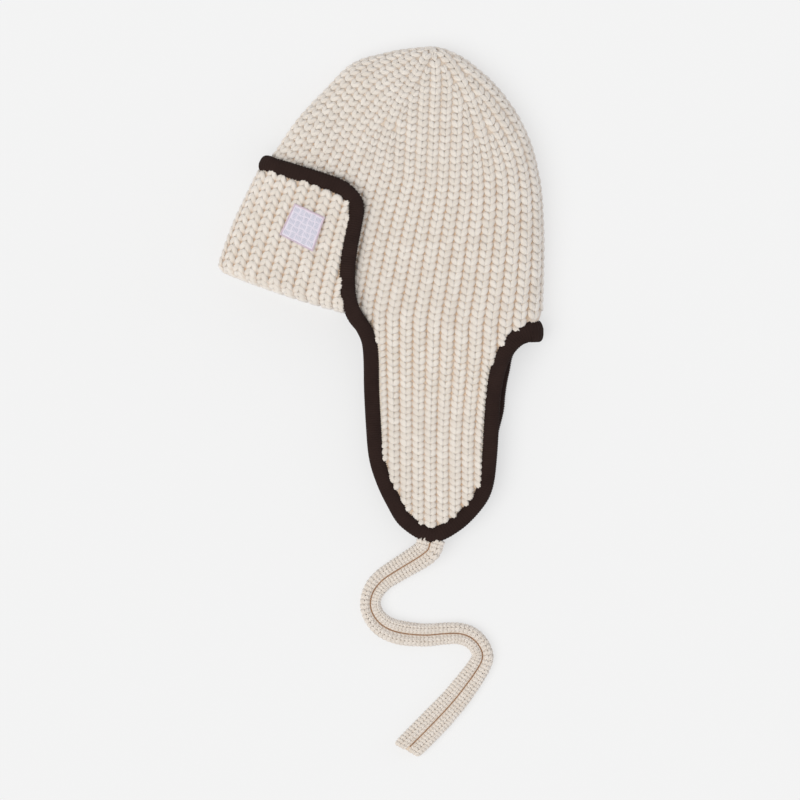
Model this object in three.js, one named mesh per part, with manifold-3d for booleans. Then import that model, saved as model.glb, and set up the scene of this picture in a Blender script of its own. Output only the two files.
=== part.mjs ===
// An earflap beanie in chunky rib knit, laid flat on its right side with its front to the left.
// Millimetres, +X from front to back, +Y from flap tips to crown, +Z from the far side to the near side.
// The surface it lies on is z = 0. "near" is the side that faces up, "far" the side underneath.

import * as THREE from 'three';
import { mergeVertices } from 'three/addons/utils/BufferGeometryUtils.js';
import Module from 'manifold-3d';

const wasm = await Module();
wasm.setup();

// Knit and binding
const WALL = 5; // thickness of the chunky knit
const RIB_DEPTH = 1.2; // from the top of a rib to the valley beside it
const RIB_COUNT = 50; // ribs once round the hat
const GAP = 0.3; // clearance between pieces that touch
const BINDING_WIDTH = 10.8; // of the dark edge binding, seen from above
const BINDING_SKIN = 1.3; // thickness of the binding on each side of the knit
const BINDING_HALF = WALL / 2 + GAP + BINDING_SKIN; // half of the bound edge's thickness
const BINDING_OVER = 1.9; // how far the binding reaches past the knit's cut edge
const BINDING_ROUND = 2; // how far its edges draw in from its full width
const BINDING_INSET = BINDING_WIDTH / 2 - BINDING_OVER; // from the cut edge in to the binding's middle

// The hat's flat form
const CROWN_HEIGHT = 187; // from the rim up the middle of the side to the crown's tip
const EDGE_LIFT = 8; // height of the folded front and back edges over what they lie on
const EDGE_DROP = 14; // how steeply the far side falls from those edges to the surface
const FLAP_TOP = 2 * BINDING_HALF + GAP + BINDING_SKIN + GAP + WALL; // outer height of the near flap's knit
const FLAP_FALL = 62; // length over which the near side comes down from the crown to the far flap
const FAR_PEEK = 3.4; // how far the far flap's back edge shows beyond the near one
const ROUND_CROWN = { across: 3, up: 2.2 }; // powers of the lofted section's rounding
const ROUND_FLAP = { across: 14, up: 5 };

// The turned-up brim
const BRIM_STAND = 2; // clearance between crown and brim, which holds the binding's inner layer
const BRIM_MIDDLE = BRIM_STAND + WALL / 2;
const BRIM_LIFT = BRIM_STAND + WALL / 2 + BINDING_HALF; // the brim's thickness under the far side
const BRIM_REACH = 96; // height of the sheet that the brim is cut from
const RIM_TRIM = 0.8; // how far the crown's front rim is cut above its lowest course, inside the brim's fold

// The label and the tie
const LABEL_THICKNESS = 0.8;
const TIE_WIDTH = 16;
const TIE_THICKNESS = 7;
const TIE_SIDES = 8; // facets round the tie
const TIE_STEPS = 38; // and rings along it
const TIE_MIDDLE = TIE_THICKNESS / 2 + GAP / 2; // height of the tie's middle line where it lies

const KNIT_COLOUR = 0xdbd0c2;
const BINDING_COLOUR = 0x31251f;
const LABEL_COLOUR = 0xd6d5e0;
const TIE_COLOUR = 0xd5c8b9;

// Courses of the crown, from the rim (up 0) to the tip. Each runs from the front edge to the back edge
// and sags below the straight line between them; top is the height of the near side's middle.
const COURSES = [
  { up: 0, frontX: -107.8, frontY: 20.3, backX: 112.6, backY: -25.2, sag: 11.2, top: 33 },
  { up: 28, frontX: -96.6, frontY: 52.5, backX: 113.2, backY: 9.8, sag: 17.2, top: 34 },
  { up: 56, frontX: -84, frontY: 84, backX: 113.4, backY: 44.8, sag: 22.4, top: 35 },
  { up: 84, frontX: -67.4, frontY: 114, backX: 110.9, backY: 79.9, sag: 26.2, top: 35 },
  { up: 112, frontX: -45.7, frontY: 140.2, backX: 101.8, backY: 113.2, sag: 28, top: 33 },
  { up: 140, frontX: -19.7, frontY: 161.9, backX: 83.5, backY: 142.9, sag: 25.2, top: 29 },
  { up: 165, frontX: 8.8, frontY: 170.4, backX: 61.1, backY: 163.6, sag: 16, top: 23 },
  { up: 180, frontX: 26.6, frontY: 172.9, backX: 44.7, backY: 171.9, sag: 6, top: 17 },
  { up: CROWN_HEIGHT, frontX: 35.7, frontY: 173.7, backX: 35.7, backY: 173.7, sag: 0, top: 10 },
];

// The binding's middle line on the near side, seen from above: back along the brim's top, down its side,
// over to the flap, round the flap's tip and up to the nape.
const BINDING_LINE = [
  { x: -76, y: 91 },
  { x: -67.9, y: 88.6 },
  { x: -45.5, y: 81.6 },
  { x: -30.1, y: 76.3 },
  { x: -21.7, y: 70.4 },
  { x: -16.8, y: 62.3 },
  { x: -17.9, y: 51.1 },
  { x: -21.7, y: 30.1 },
  { x: -23.1, y: 11.9 },
  { x: -22.1, y: -2.1 },
  { x: -18.2, y: -14 },
  { x: -12.6, y: -22.4 },
  { x: -8.4, y: -32.2 },
  { x: -7, y: -45.5 },
  { x: -6.7, y: -66.5 },
  { x: -5.6, y: -88.9 },
  { x: -3.5, y: -112.7 },
  { x: 1.4, y: -129.5 },
  { x: 8.8, y: -144.9 },
  { x: 19.6, y: -157.5 },
  { x: 35.4, y: -168 },
  { x: 51.8, y: -159.6 },
  { x: 66.5, y: -146.3 },
  { x: 73.5, y: -133.7 },
  { x: 76.3, y: -112.7 },
  { x: 77.7, y: -88.9 },
  { x: 79.1, y: -67.9 },
  { x: 82.6, y: -50.4 },
  { x: 88.2, y: -38.5 },
  { x: 95.9, y: -29.4 },
  { x: 103, y: -26 },
];
const BRIM_FRONT_UP = 63; // the course where the binding rounds the brim's front fold
const NAPE_UP = -0.6; // and the one where it rounds the back fold
const RIM_AT_NOTCH = -7; // height of the rim where the brim's side edge meets the flap
const NOTCH = { top: -10, bottom: -34 }; // between these heights it passes from the brim to the flap

const LABEL_CORNERS = [
  { x: -60.2, y: 63.7 },
  { x: -39.2, y: 53.9 },
  { x: -47.6, y: 30.1 },
  { x: -70.7, y: 42 },
];

// Middle line of the tie, from the flap's tip, down to the surface, and on to the free end.
const TIE_ROUTE = [
  { x: 34.3, y: -174.3, z: 12.2 },
  { x: 32.9, y: -178.5, z: 11.6 },
  { x: 28, y: -182.7, z: 10 },
  { x: 20.3, y: -187.6, z: 7.6 },
  { x: 11.2, y: -193.2, z: 5.4 },
  { x: 2.1, y: -199.2, z: 4.1 },
  { x: -3.5, y: -205.1, z: TIE_MIDDLE },
  { x: -6.7, y: -211.4, z: TIE_MIDDLE },
  { x: -7.4, y: -218.4, z: TIE_MIDDLE },
  { x: -4.9, y: -225.4, z: TIE_MIDDLE },
  { x: 0.7, y: -231.7, z: TIE_MIDDLE },
  { x: 9.1, y: -235.9, z: TIE_MIDDLE },
  { x: 19.6, y: -238, z: TIE_MIDDLE },
  { x: 32.2, y: -238.7, z: TIE_MIDDLE },
  { x: 44.8, y: -237.7, z: TIE_MIDDLE },
  { x: 55.3, y: -237.7, z: TIE_MIDDLE },
  { x: 63.7, y: -240.8, z: TIE_MIDDLE },
  { x: 69.3, y: -246.8, z: TIE_MIDDLE },
  { x: 71.4, y: -253.8, z: TIE_MIDDLE },
  { x: 68.6, y: -261.1, z: TIE_MIDDLE },
  { x: 60.9, y: -272.3, z: TIE_MIDDLE },
  { x: 51.1, y: -284.9, z: TIE_MIDDLE },
  { x: 39.9, y: -297.2, z: TIE_MIDDLE },
  { x: 28, y: -309.4, z: TIE_MIDDLE },
  { x: 16.8, y: -320.6, z: TIE_MIDDLE },
];

const mix = THREE.MathUtils.lerp;
const ease = THREE.MathUtils.smoothstep;

// A column's value between the rows of a table, on a smooth curve through them.
function columnAt(table, up, column) {
  const last = table.length - 1;
  let i = 0;
  while (i < last - 1 && up > table[i + 1].up) {
    i += 1;
  }
  const slopeAt = (k) => {
    const before = table[Math.max(k - 1, 0)];
    const after = table[Math.min(k + 1, last)];
    return (after[column] - before[column]) / (after.up - before.up);
  };
  const span = table[i + 1].up - table[i].up;
  const t = THREE.MathUtils.clamp((up - table[i].up) / span, 0, 1);
  const rise = table[i + 1][column] - table[i][column];
  const bend = t * (1 - t) * ((1 - t) * (slopeAt(i) * span - rise) - t * (slopeAt(i + 1) * span - rise));
  return table[i][column] + rise * t + bend;
}

// One course as a curve in plan, grown by `out` past both folded edges.
function courseAt(up, out) {
  const row = Math.max(up, 0);
  const front = new THREE.Vector2(columnAt(COURSES, row, 'frontX'), columnAt(COURSES, row, 'frontY'));
  const back = new THREE.Vector2(columnAt(COURSES, row, 'backX'), columnAt(COURSES, row, 'backY'));
  const control = front.clone().add(back).multiplyScalar(0.5);
  control.y -= 2 * columnAt(COURSES, row, 'sag') + 0.01;
  front.addScaledVector(front.clone().sub(control).normalize(), out);
  back.addScaledVector(back.clone().sub(control).normalize(), out);
  return new THREE.QuadraticBezierCurve(front, control, back);
}

// Height of the surface under the far side: the binding lifts the rim, the folded brim lifts the front.
function liftAt(share, up) {
  const rim = (BINDING_SKIN + GAP) * (1 - ease(up, 4, 30));
  const brim = BRIM_LIFT * (1 - ease(share, 0.4, 0.6)) * (1 - ease(up, 88, 116));
  const settled = ease(-up, 0, FLAP_FALL);
  return Math.max(rim, mix(brim, rim, settled));
}

// A point of the knit. `turn` runs once round the hat: 0 on the front fold, over the near side to a half
// on the back fold, and back under the far side. `up` is the course, negative down the flaps, and `out`
// the distance from the knit's outer face.
function knitPoint(turn, up, out) {
  const across = Math.cos(2 * Math.PI * turn);
  const share = (1 - across) / 2;
  const settled = ease(-up, 0, FLAP_FALL);
  const powers = {
    across: mix(ROUND_CROWN.across, ROUND_FLAP.across, settled),
    up: mix(ROUND_CROWN.up, ROUND_FLAP.up, settled),
  };
  const swell = (1 - Math.abs(across) ** powers.across) ** (1 / powers.up);
  const lift = liftAt(share, up);
  const flapMiddle = (FLAP_TOP + BINDING_SKIN + GAP) / 2;
  const edge = mix(lift + EDGE_LIFT, flapMiddle, settled);
  const top = mix(columnAt(COURSES, Math.max(up, 0), 'top'), FLAP_TOP, settled);
  const place = courseAt(up, out).getPoint(share);
  const near = Math.sin(2 * Math.PI * turn) >= 0;
  const z = near
    ? edge + (top + out - edge) * swell
    : Math.max(lift - out, edge - (EDGE_DROP + out) * swell);
  return new THREE.Vector3(place.x, place.y + Math.min(up, 0), z);
}

// The knit's outward direction at a point, square to its face.
function knitFace(turn, up, out) {
  const around = knitPoint(turn + 0.004, up, out).sub(knitPoint(turn - 0.004, up, out));
  const upward = knitPoint(turn, up + 1.5, out).sub(knitPoint(turn, up - 1.5, out));
  const face = around.cross(upward).normalize();
  const outward = knitPoint(turn, up, out + 0.5).sub(knitPoint(turn, up, out - 0.5));
  return face.multiplyScalar(Math.sign(face.dot(outward)));
}

// One ring of the knit as points at equal distances, with every second one pressed in as a rib's valley.
function ring(up, out, count, ribDepth) {
  const turns = 240;
  const fine = [];
  const lengths = [0];
  for (let i = 0; i <= turns; i += 1) {
    fine.push(knitPoint(i / turns, up, out));
    if (i > 0) {
      lengths.push(lengths[i - 1] + fine[i].distanceTo(fine[i - 1]));
    }
  }
  const points = [];
  let k = 0;
  for (let i = 0; i < count; i += 1) {
    const length = (i / count) * lengths[turns];
    while (lengths[k + 1] < length) {
      k += 1;
    }
    const t = (length - lengths[k]) / (lengths[k + 1] - lengths[k]);
    const point = fine[k].clone().lerp(fine[k + 1], t);
    const resting = point.z < out + liftAt(0, up) + 1;
    if (ribDepth && i % 2 === 1 && !resting) {
      point.lerp(knitPoint((k + t) / turns, up, out - WALL), ribDepth / WALL);
    }
    points.push(point);
  }
  return points;
}

// Three.js geometry of a closed mesh from its points and triangles, turned to face out.
function closedGeometry(points, triangles) {
  const volume = triangles.reduce((sum, [a, b, c]) => {
    return sum + points[a].dot(points[b].clone().cross(points[c]));
  }, 0);
  const faces = volume < 0 ? triangles.map(([a, b, c]) => [a, c, b]) : triangles;
  const geometry = new THREE.BufferGeometry();
  geometry.setAttribute('position', new THREE.Float32BufferAttribute(points.flatMap((p) => p.toArray()), 3));
  geometry.setIndex(faces.flat());
  return geometry;
}

// A closed solid through rings of equal count: a hoop, or capped at both ends, the last cap at a tip.
function ringSolid(rings, { hoop = false, tip = null } = {}) {
  const count = rings[0].length;
  const points = rings.flat();
  const triangles = [];
  const stretches = hoop ? rings.length : rings.length - 1;
  for (let r = 0; r < stretches; r += 1) {
    const here = r * count;
    const next = ((r + 1) % rings.length) * count;
    for (let i = 0; i < count; i += 1) {
      const j = (i + 1) % count;
      triangles.push([here + i, here + j, next + j], [here + i, next + j, next + i]);
    }
  }
  const cap = (ring, start, apex, turned) => {
    const middle = new THREE.Vector3();
    ring.forEach((p) => middle.addScaledVector(p, 1 / count));
    points.push(apex ?? middle);
    for (let i = 0; i < count; i += 1) {
      const [a, b] = [start + i, start + ((i + 1) % count)];
      triangles.push(turned ? [b, a, points.length - 1] : [a, b, points.length - 1]);
    }
  };
  if (!hoop) {
    cap(rings[0], 0, null, true);
    cap(rings.at(-1), (rings.length - 1) * count, tip, false);
  }
  return closedGeometry(points, triangles);
}

function toManifold(geometry) {
  const bare = geometry.clone();
  bare.deleteAttribute('normal');
  bare.deleteAttribute('uv');
  const merged = mergeVertices(bare, 1e-5);
  return new wasm.Manifold(new wasm.Mesh({
    numProp: 3,
    vertProperties: new Float32Array(merged.attributes.position.array),
    triVerts: new Uint32Array(merged.index.array),
  }));
}

function toGeometry(manifold) {
  const mesh = manifold.getMesh();
  const geometry = new THREE.BufferGeometry();
  geometry.setAttribute('position', new THREE.Float32BufferAttribute(mesh.vertProperties, 3));
  geometry.setIndex(Array.from(mesh.triVerts));
  return geometry;
}

// The line moved sideways, to the right of its direction for a positive distance.
function besideLine(line, distance) {
  return line.map((point, i) => {
    const ahead = line[Math.min(i + 1, line.length - 1)];
    const along = ahead.clone().sub(line[Math.max(i - 1, 0)]).normalize();
    return new THREE.Vector2(point.x + along.y * distance, point.y - along.x * distance);
  });
}

const bindingCurve = new THREE.SplineCurve(BINDING_LINE.map(({ x, y }) => new THREE.Vector2(x, y)));
const nearLine = bindingCurve.getPoints(48);

// The far flap's back edge stands out a little beyond the near one, below the nape.
const farLine = nearLine.map(({ x, y }) => {
  const shown = x > 40 ? ease(-y, 34, 54) * (1 - ease(-y, 76, 100)) : 0;
  return new THREE.Vector2(x + FAR_PEEK * shown, y);
});

function prism(outline, low, high) {
  const geometry = new THREE.ExtrudeGeometry(new THREE.Shape(outline), {
    depth: high - low,
    bevelEnabled: false,
  });
  return toManifold(geometry.translate(0, 0, low));
}

// Halves an interval until it holds the place where `isBelow` stops being true.
function solve(low, high, isBelow) {
  let [from, to] = [low, high];
  for (let i = 0; i < 36; i += 1) {
    const middle = (from + to) / 2;
    [from, to] = isBelow(middle) ? [middle, to] : [from, middle];
  }
  return from;
}

function shareAt(curve, x) {
  return solve(0, 1, (share) => curve.getPoint(share).x < x);
}

// The binding's line leaves the brim and joins the flap at its first point below the rim.
const notchAt = nearLine.findIndex(({ y }) => y < RIM_AT_NOTCH);

// The cut edge of the flap and the nape, beside the binding's middle line.
function flapCut(line, grow) {
  return besideLine(line, BINDING_INSET + grow).slice(notchAt);
}

const foldEnd = flapCut(nearLine, 0)[0].x - 4; // where the brim's fold ends at the flap's front corner

// What the crown and the flaps keep of the whole bag, grown by `grow` past the cut edges. The near side
// and the far side have cut lines of their own, parted at the height between the two flaps.
function bodyKeep(grow) {
  const rim = courseAt(0, 0);
  const steps = 9;
  const frontRim = [];
  for (let i = 0; i <= steps; i += 1) {
    const place = rim.getPoint((shareAt(rim, foldEnd) * i) / steps);
    frontRim.push(new THREE.Vector2(place.x, place.y + RIM_TRIM - grow));
  }
  const outlineOf = (line) => {
    const cut = flapCut(line, grow);
    const napeY = cut.at(-1).y;
    const outside = [[160, napeY], [160, 200], [-150, 200], [-150, frontRim[0].y + 14]];
    return [...frontRim, ...cut, ...outside.map(([x, y]) => new THREE.Vector2(x, y))];
  };
  const parting = BINDING_HALF + WALL / 2 + 1;
  return prism(outlineOf(nearLine), parting, 90).add(prism(outlineOf(farLine), -20, parting));
}

// What the brim keeps of the sheet it is cut from: the part in front of and below its cut edge.
function brimKeep(grow) {
  const cut = besideLine(nearLine, -BINDING_INSET - grow).slice(0, notchAt - 1);
  const foldX = foldEnd - GAP + grow;
  const cornerY = RIM_AT_NOTCH + 1.5 - grow;
  const outside = [[cut.at(-1).x, cornerY], [foldX, cornerY], [foldX, -60], [-160, -60], [-160, cut[0].y + 24]];
  return prism([...cut, ...outside.map(([x, y]) => new THREE.Vector2(x, y))], -20, 90);
}

// The courses that the facets of the knit's outer face and inner face follow.
const OUTER_ROWS = [
  -162, -120, -92, -70, -52, -36, -22, -10, 2, 16, 32, 48, 64, 80, 96, 112, 128, 142, 155, 166, 176, 182,
];
const INNER_ROWS = [-172, -100, -62, -34, -14, 2, 26, 52, 78, 104, 128, 148, 163, 171];

// The crown and both earflaps as one hollow bag, cut along its edges. Grown by `grow` on every face.
function knitShell(grow, ribDepth) {
  const tipPlace = COURSES.at(-1);
  const bag = (rows, out, count, depth) => {
    const rings = rows.map((up) => ring(up, out, count, depth * (1 - ease(up, 110, 172))));
    const tip = new THREE.Vector3(tipPlace.frontX, tipPlace.frontY + out, EDGE_LIFT);
    return toManifold(ringSolid(rings, { tip }));
  };
  const outer = bag(OUTER_ROWS, grow, 2 * RIB_COUNT, ribDepth);
  const inner = bag(INNER_ROWS, -WALL - grow, 44, 0);
  return outer.subtract(inner).intersect(bodyKeep(grow));
}

// The brim's section as rows of course and distance from the crown: up its outer face from the fold and
// down its inner face, with the fold a half round that takes in the crown's rim. Grown by `grow`.
function brimSection(grow) {
  const outer = BRIM_STAND + WALL + grow;
  const inner = BRIM_STAND - grow;
  const foldMiddle = (outer - WALL) / 2;
  const foldRadius = (outer + WALL) / 2;
  const section = [BRIM_REACH, 72, 48, 24].map((up) => ({ up, out: outer }));
  for (let step = 0; step <= 4; step += 1) {
    const angle = (Math.PI * step) / 4;
    section.push({ up: -foldRadius * Math.sin(angle), out: foldMiddle + foldRadius * Math.cos(angle) });
  }
  const insideUp = RIM_TRIM - GAP + grow;
  section.push({ up: insideUp, out: -WALL - grow }, { up: insideUp, out: inner });
  [24, 48, 72, BRIM_REACH].forEach((up) => section.push({ up, out: inner }));
  return section;
}

// The brim turned up round the front of the crown, with its fold. Grown by `grow` on every face.
function brimShell(grow, ribDepth) {
  const rings = brimSection(grow).map(({ up, out }) => {
    return ring(up, out, 2 * RIB_COUNT, out > BRIM_STAND + WALL / 2 ? ribDepth : 0);
  });
  return toManifold(ringSolid(rings, { hoop: true })).intersect(brimKeep(grow));
}

// The turn and course of the knit, `out` from its outer face, at a place seen from above.
function locate({ x, y }, out, near) {
  const up = solve(-175, 170, (row) => {
    const curve = courseAt(row, out);
    return curve.getPoint(shareAt(curve, x)).y + Math.min(row, 0) < y;
  });
  const turn = Math.acos(1 - 2 * shareAt(courseAt(up, out), x)) / (2 * Math.PI);
  return { turn: near ? turn : 1 - turn, up, out };
}

// Stations of the binding's middle once round the hat, each a turn, a course and a depth in the knit.
function bindingStations() {
  const side = (line, near) => {
    const stations = line.map((place) => {
      const onBrim = place.x > 40 ? 0 : 1 - ease(-place.y, -NOTCH.top, -NOTCH.bottom);
      return locate(place, mix(-WALL / 2, BRIM_MIDDLE, onBrim), near);
    });
    const round = (from, turn, up) => [1, 2, 3, 4, 5, 6, 7].map((k) => {
      const t = k / 8;
      return { turn: mix(from.turn, turn, t), up: mix(from.up, up, ease(t, 0, 1)), out: from.out };
    });
    const front = round(stations[0], near ? 0 : 1, BRIM_FRONT_UP).reverse();
    const back = round(stations.at(-1), 0.5, NAPE_UP);
    return [...front, ...stations, ...back];
  };
  return [
    { turn: 0, up: BRIM_FRONT_UP, out: BRIM_MIDDLE },
    ...side(nearLine, true),
    { turn: 0.5, up: NAPE_UP, out: -WALL / 2 },
    ...side(farLine, false).reverse(),
  ];
}

// The binding: one strip folded over the whole cut edge, a channel that the knit's edge sits in.
function edgeBinding() {
  const stations = bindingStations();
  const middles = stations.map(({ turn, up, out }) => knitPoint(turn, up, out));
  const half = BINDING_WIDTH / 2;
  const flat = half - BINDING_ROUND;
  const section = [
    [half, 0], [flat, BINDING_HALF], [-flat, BINDING_HALF],
    [-half, 0], [-flat, -BINDING_HALF], [flat, -BINDING_HALF],
  ];
  const rings = stations.map(({ turn, up, out }, i) => {
    const before = middles[(i + stations.length - 1) % stations.length];
    const after = middles[(i + 1) % stations.length];
    const along = after.clone().sub(before).normalize();
    const face = knitFace(turn, up, out);
    face.addScaledVector(along, -face.dot(along)).normalize();
    const across = along.clone().cross(face);
    return section.map(([a, f]) => middles[i].clone().addScaledVector(across, a).addScaledVector(face, f));
  });
  const strip = toManifold(ringSolid(rings, { hoop: true }));
  return toGeometry(strip.subtract(knitShell(GAP, 0)).subtract(brimShell(GAP, 0)));
}

// A thin woven patch on the brim's near face, bent with it.
function labelPatch() {
  const cells = 5;
  const [backLeft, backRight, frontRight, frontLeft] = LABEL_CORNERS.map(({ x, y }) => new THREE.Vector2(x, y));
  const places = [];
  for (let row = 0; row <= cells; row += 1) {
    for (let column = 0; column <= cells; column += 1) {
      const top = backLeft.clone().lerp(backRight, column / cells);
      const bottom = frontLeft.clone().lerp(frontRight, column / cells);
      places.push(top.lerp(bottom, row / cells));
    }
  }
  const faceAt = (out) => places.map((place) => {
    const spot = locate(place, out, true);
    return knitPoint(spot.turn, spot.up, out);
  });
  const under = BRIM_STAND + WALL + GAP;
  const points = [...faceAt(under + LABEL_THICKNESS), ...faceAt(under)];
  const wide = cells + 1;
  const layer = wide * wide;
  const triangles = [];
  for (let row = 0; row < cells; row += 1) {
    for (let column = 0; column < cells; column += 1) {
      const a = row * wide + column;
      const [b, c, d] = [a + 1, a + wide + 1, a + wide];
      triangles.push([a, c, b], [a, d, c], [layer + a, layer + b, layer + c], [layer + a, layer + c, layer + d]);
    }
  }
  const rim = [];
  for (let i = 0; i < cells; i += 1) {
    rim.push([i, i + 1], [i * wide + cells, (i + 1) * wide + cells]);
    rim.push([cells * wide + i + 1, cells * wide + i], [(i + 1) * wide, i * wide]);
  }
  rim.forEach(([a, b]) => triangles.push([a, b, layer + b], [a, layer + b, layer + a]));
  return closedGeometry(points, triangles);
}

// The tie: a flat oval strip swept along the route with its width kept level.
function tie() {
  const route = new THREE.CatmullRomCurve3(TIE_ROUTE.map(({ x, y, z }) => new THREE.Vector3(x, y, z)));
  const rings = route.getSpacedPoints(TIE_STEPS).map((middle, i) => {
    const along = route.getTangentAt(i / TIE_STEPS);
    const across = new THREE.Vector3(along.y, -along.x, 0).normalize();
    const above = across.clone().cross(along);
    const points = [];
    for (let side = 0; side < TIE_SIDES; side += 1) {
      const angle = (2 * Math.PI * (side + 0.5)) / TIE_SIDES;
      const roundness = 1 / Math.cos(Math.PI / TIE_SIDES);
      const point = middle.clone();
      point.addScaledVector(across, (TIE_WIDTH / 2) * Math.cos(angle) * roundness);
      point.addScaledVector(above, (TIE_THICKNESS / 2) * Math.sin(angle) * roundness);
      points.push(point);
    }
    return points;
  });
  return ringSolid(rings);
}

function piece(name, geometry, colour, roughness) {
  const material = new THREE.MeshStandardMaterial({ color: colour, roughness, metalness: 0 });
  const mesh = new THREE.Mesh(geometry, material);
  mesh.name = name;
  return mesh;
}

const beanie = new THREE.Group();
beanie.add(
  piece('knit_body', toGeometry(knitShell(0, RIB_DEPTH)), KNIT_COLOUR, 0.95),
  piece('front_brim', toGeometry(brimShell(0, RIB_DEPTH)), KNIT_COLOUR, 0.95),
  piece('edge_binding', edgeBinding(), BINDING_COLOUR, 0.9),
  piece('label_patch', labelPatch(), LABEL_COLOUR, 0.7),
  piece('near_tie', tie(), TIE_COLOUR, 0.95),
);

export default beanie;
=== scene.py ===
# %% [markdown]
# An earflap beanie, stitch by stitch.
#
# The real hat is a chunky rib-knit bag with two long earflaps. Its front rim is turned up as a brim, a dark
# ribbed strip binds the whole cut edge, and a knitted tie hangs from a flap's tip. It lies flat on its right
# side. This lesson dresses a measured solid model of it: each solid is replaced by yarn that could be
# counted.

import bmesh
import bpy
import numpy as np
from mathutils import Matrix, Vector


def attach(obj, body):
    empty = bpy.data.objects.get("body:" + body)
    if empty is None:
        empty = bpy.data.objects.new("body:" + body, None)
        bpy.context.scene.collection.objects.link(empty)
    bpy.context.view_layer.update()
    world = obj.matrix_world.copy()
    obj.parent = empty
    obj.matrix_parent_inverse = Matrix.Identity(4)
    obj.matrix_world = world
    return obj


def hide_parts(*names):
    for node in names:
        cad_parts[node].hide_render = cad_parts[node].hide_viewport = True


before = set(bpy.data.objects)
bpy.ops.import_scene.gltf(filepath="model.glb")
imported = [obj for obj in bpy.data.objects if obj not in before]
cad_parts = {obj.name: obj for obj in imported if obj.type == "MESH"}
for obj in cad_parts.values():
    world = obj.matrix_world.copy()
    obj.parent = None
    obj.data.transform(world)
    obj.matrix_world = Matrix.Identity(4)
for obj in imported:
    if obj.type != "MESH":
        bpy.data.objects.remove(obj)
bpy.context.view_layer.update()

MM = 0.001  # the tables below are in millimetres, the scene is in metres

# %% [markdown]
# The camera hangs straight over the table, as it did over the real hat. A long lens keeps the view almost
# free of perspective, so that a pixel stands for the same length all over the hat.

# %% Camera
PHOTO_PIXELS = 800
PIXEL = 0.7 * MM  # size of one pixel at the height of the hat's upper face
ORIGIN_PIXEL = (381, 295)  # where the frame's origin lies in the photograph
CAMERA_HEIGHT = 5.0  # metres
FOCUS_HEIGHT = 25 * MM
SENSOR_WIDTH = 36.0  # millimetres

camera_data = bpy.data.cameras.new("overhead_camera")
camera_data.sensor_width = SENSOR_WIDTH
camera_data.lens = SENSOR_WIDTH * (CAMERA_HEIGHT - FOCUS_HEIGHT) / (PHOTO_PIXELS * PIXEL)
camera = bpy.data.objects.new("overhead_camera", camera_data)
bpy.context.collection.objects.link(camera)
middle_pixel = PHOTO_PIXELS / 2
camera.location = (
    (middle_pixel - ORIGIN_PIXEL[0]) * PIXEL,
    (ORIGIN_PIXEL[1] - middle_pixel) * PIXEL,
    CAMERA_HEIGHT,
)
bpy.context.scene.camera = camera
bpy.context.scene.view_settings.view_transform = "Standard"
print("lens", round(camera_data.lens, 1), "mm")

# %% [markdown]
# A finish is easier to read as a formula than as a web of nodes. The small class below wraps a socket, so
# that `height * 0.5 + noise` adds the Math nodes for it. Every other node comes from one method, which sets
# the node's options first and its sockets afterwards.

# %% Node helpers
class Wire:
    """An output socket that can be used in a formula."""

    def __init__(self, board, socket):
        self.board = board
        self.socket = socket

    def __getitem__(self, name):
        return Wire(self.board, self.socket.node.outputs[name])

    def math(self, operation, *others):
        values = dict(enumerate((self, *others)))
        return self.board.make("ShaderNodeMath", {"operation": operation}, values)

    def __add__(self, other):
        return self.math("ADD", other)

    def __sub__(self, other):
        return self.math("SUBTRACT", other)

    def __mul__(self, other):
        return self.math("MULTIPLY", other)

    def __rsub__(self, other):
        return self.board.make("ShaderNodeMath", {"operation": "SUBTRACT"}, {0: other, 1: self})

    __radd__ = __add__
    __rmul__ = __mul__


class Board:
    """A node tree with one way to add a node."""

    def __init__(self, tree):
        self.tree = tree

    def make(self, kind, settings=None, sockets=None, output=0):
        node = self.tree.nodes.new(kind)
        for name, value in (settings or {}).items():
            setattr(node, name, value)
        for key, value in (sockets or {}).items():
            if isinstance(value, Wire):
                self.tree.links.new(value.socket, node.inputs[key])
            else:
                node.inputs[key].default_value = value
        return Wire(self, node.outputs[output]) if len(node.outputs) else node


def colour(red, green, blue):
    """A linear colour from the 0 to 255 values that a picture editor shows."""
    shares = np.array([red, green, blue]) / 255
    linear = np.where(shares <= 0.04045, shares / 12.92, ((shares + 0.055) / 1.055) ** 2.4)
    return (*(float(value) for value in linear), 1.0)


print("a mid grey is", tuple(round(value, 3) for value in colour(128, 128, 128)))

# %% [markdown]
# The tie is a strip knitted so that both long edges curl in and meet. It leaves the flap's tip under the
# binding, comes down to the table and lies there in one loose S. A cord keeps its length, so its route is a
# list of given points, the same ones as in the solid model.

# %% The tie's route
TIE_THICKNESS = 7 * MM
TIE_LOW = 3.65  # height of the middle line where the tie lies on the table
TIE_POINTS = 160
TIE_ROOT = (35.6, -170.2, 12.4)  # its first few millimetres are sewn into the binding
TIE_ROUTE = [
    (34.3, -174.3, 12.2), (32.9, -178.5, 11.6), (28, -182.7, 10), (20.3, -187.6, 7.6),
    (11.2, -193.2, 5.4), (2.1, -199.2, 4.1), (-3.5, -205.1, TIE_LOW), (-6.7, -211.4, TIE_LOW),
    (-7.4, -218.4, TIE_LOW), (-4.9, -225.4, TIE_LOW), (0.7, -231.7, TIE_LOW), (9.1, -235.9, TIE_LOW),
    (19.6, -238, TIE_LOW), (32.2, -238.7, TIE_LOW), (44.8, -237.7, TIE_LOW), (55.3, -237.7, TIE_LOW),
    (63.7, -240.8, TIE_LOW), (69.3, -246.8, TIE_LOW), (71.4, -253.8, TIE_LOW), (68.6, -261.1, TIE_LOW),
    (60.9, -272.3, TIE_LOW), (51.1, -284.9, TIE_LOW), (39.9, -297.2, TIE_LOW), (28, -309.4, TIE_LOW),
    (16.8, -320.6, TIE_LOW),
]


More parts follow.
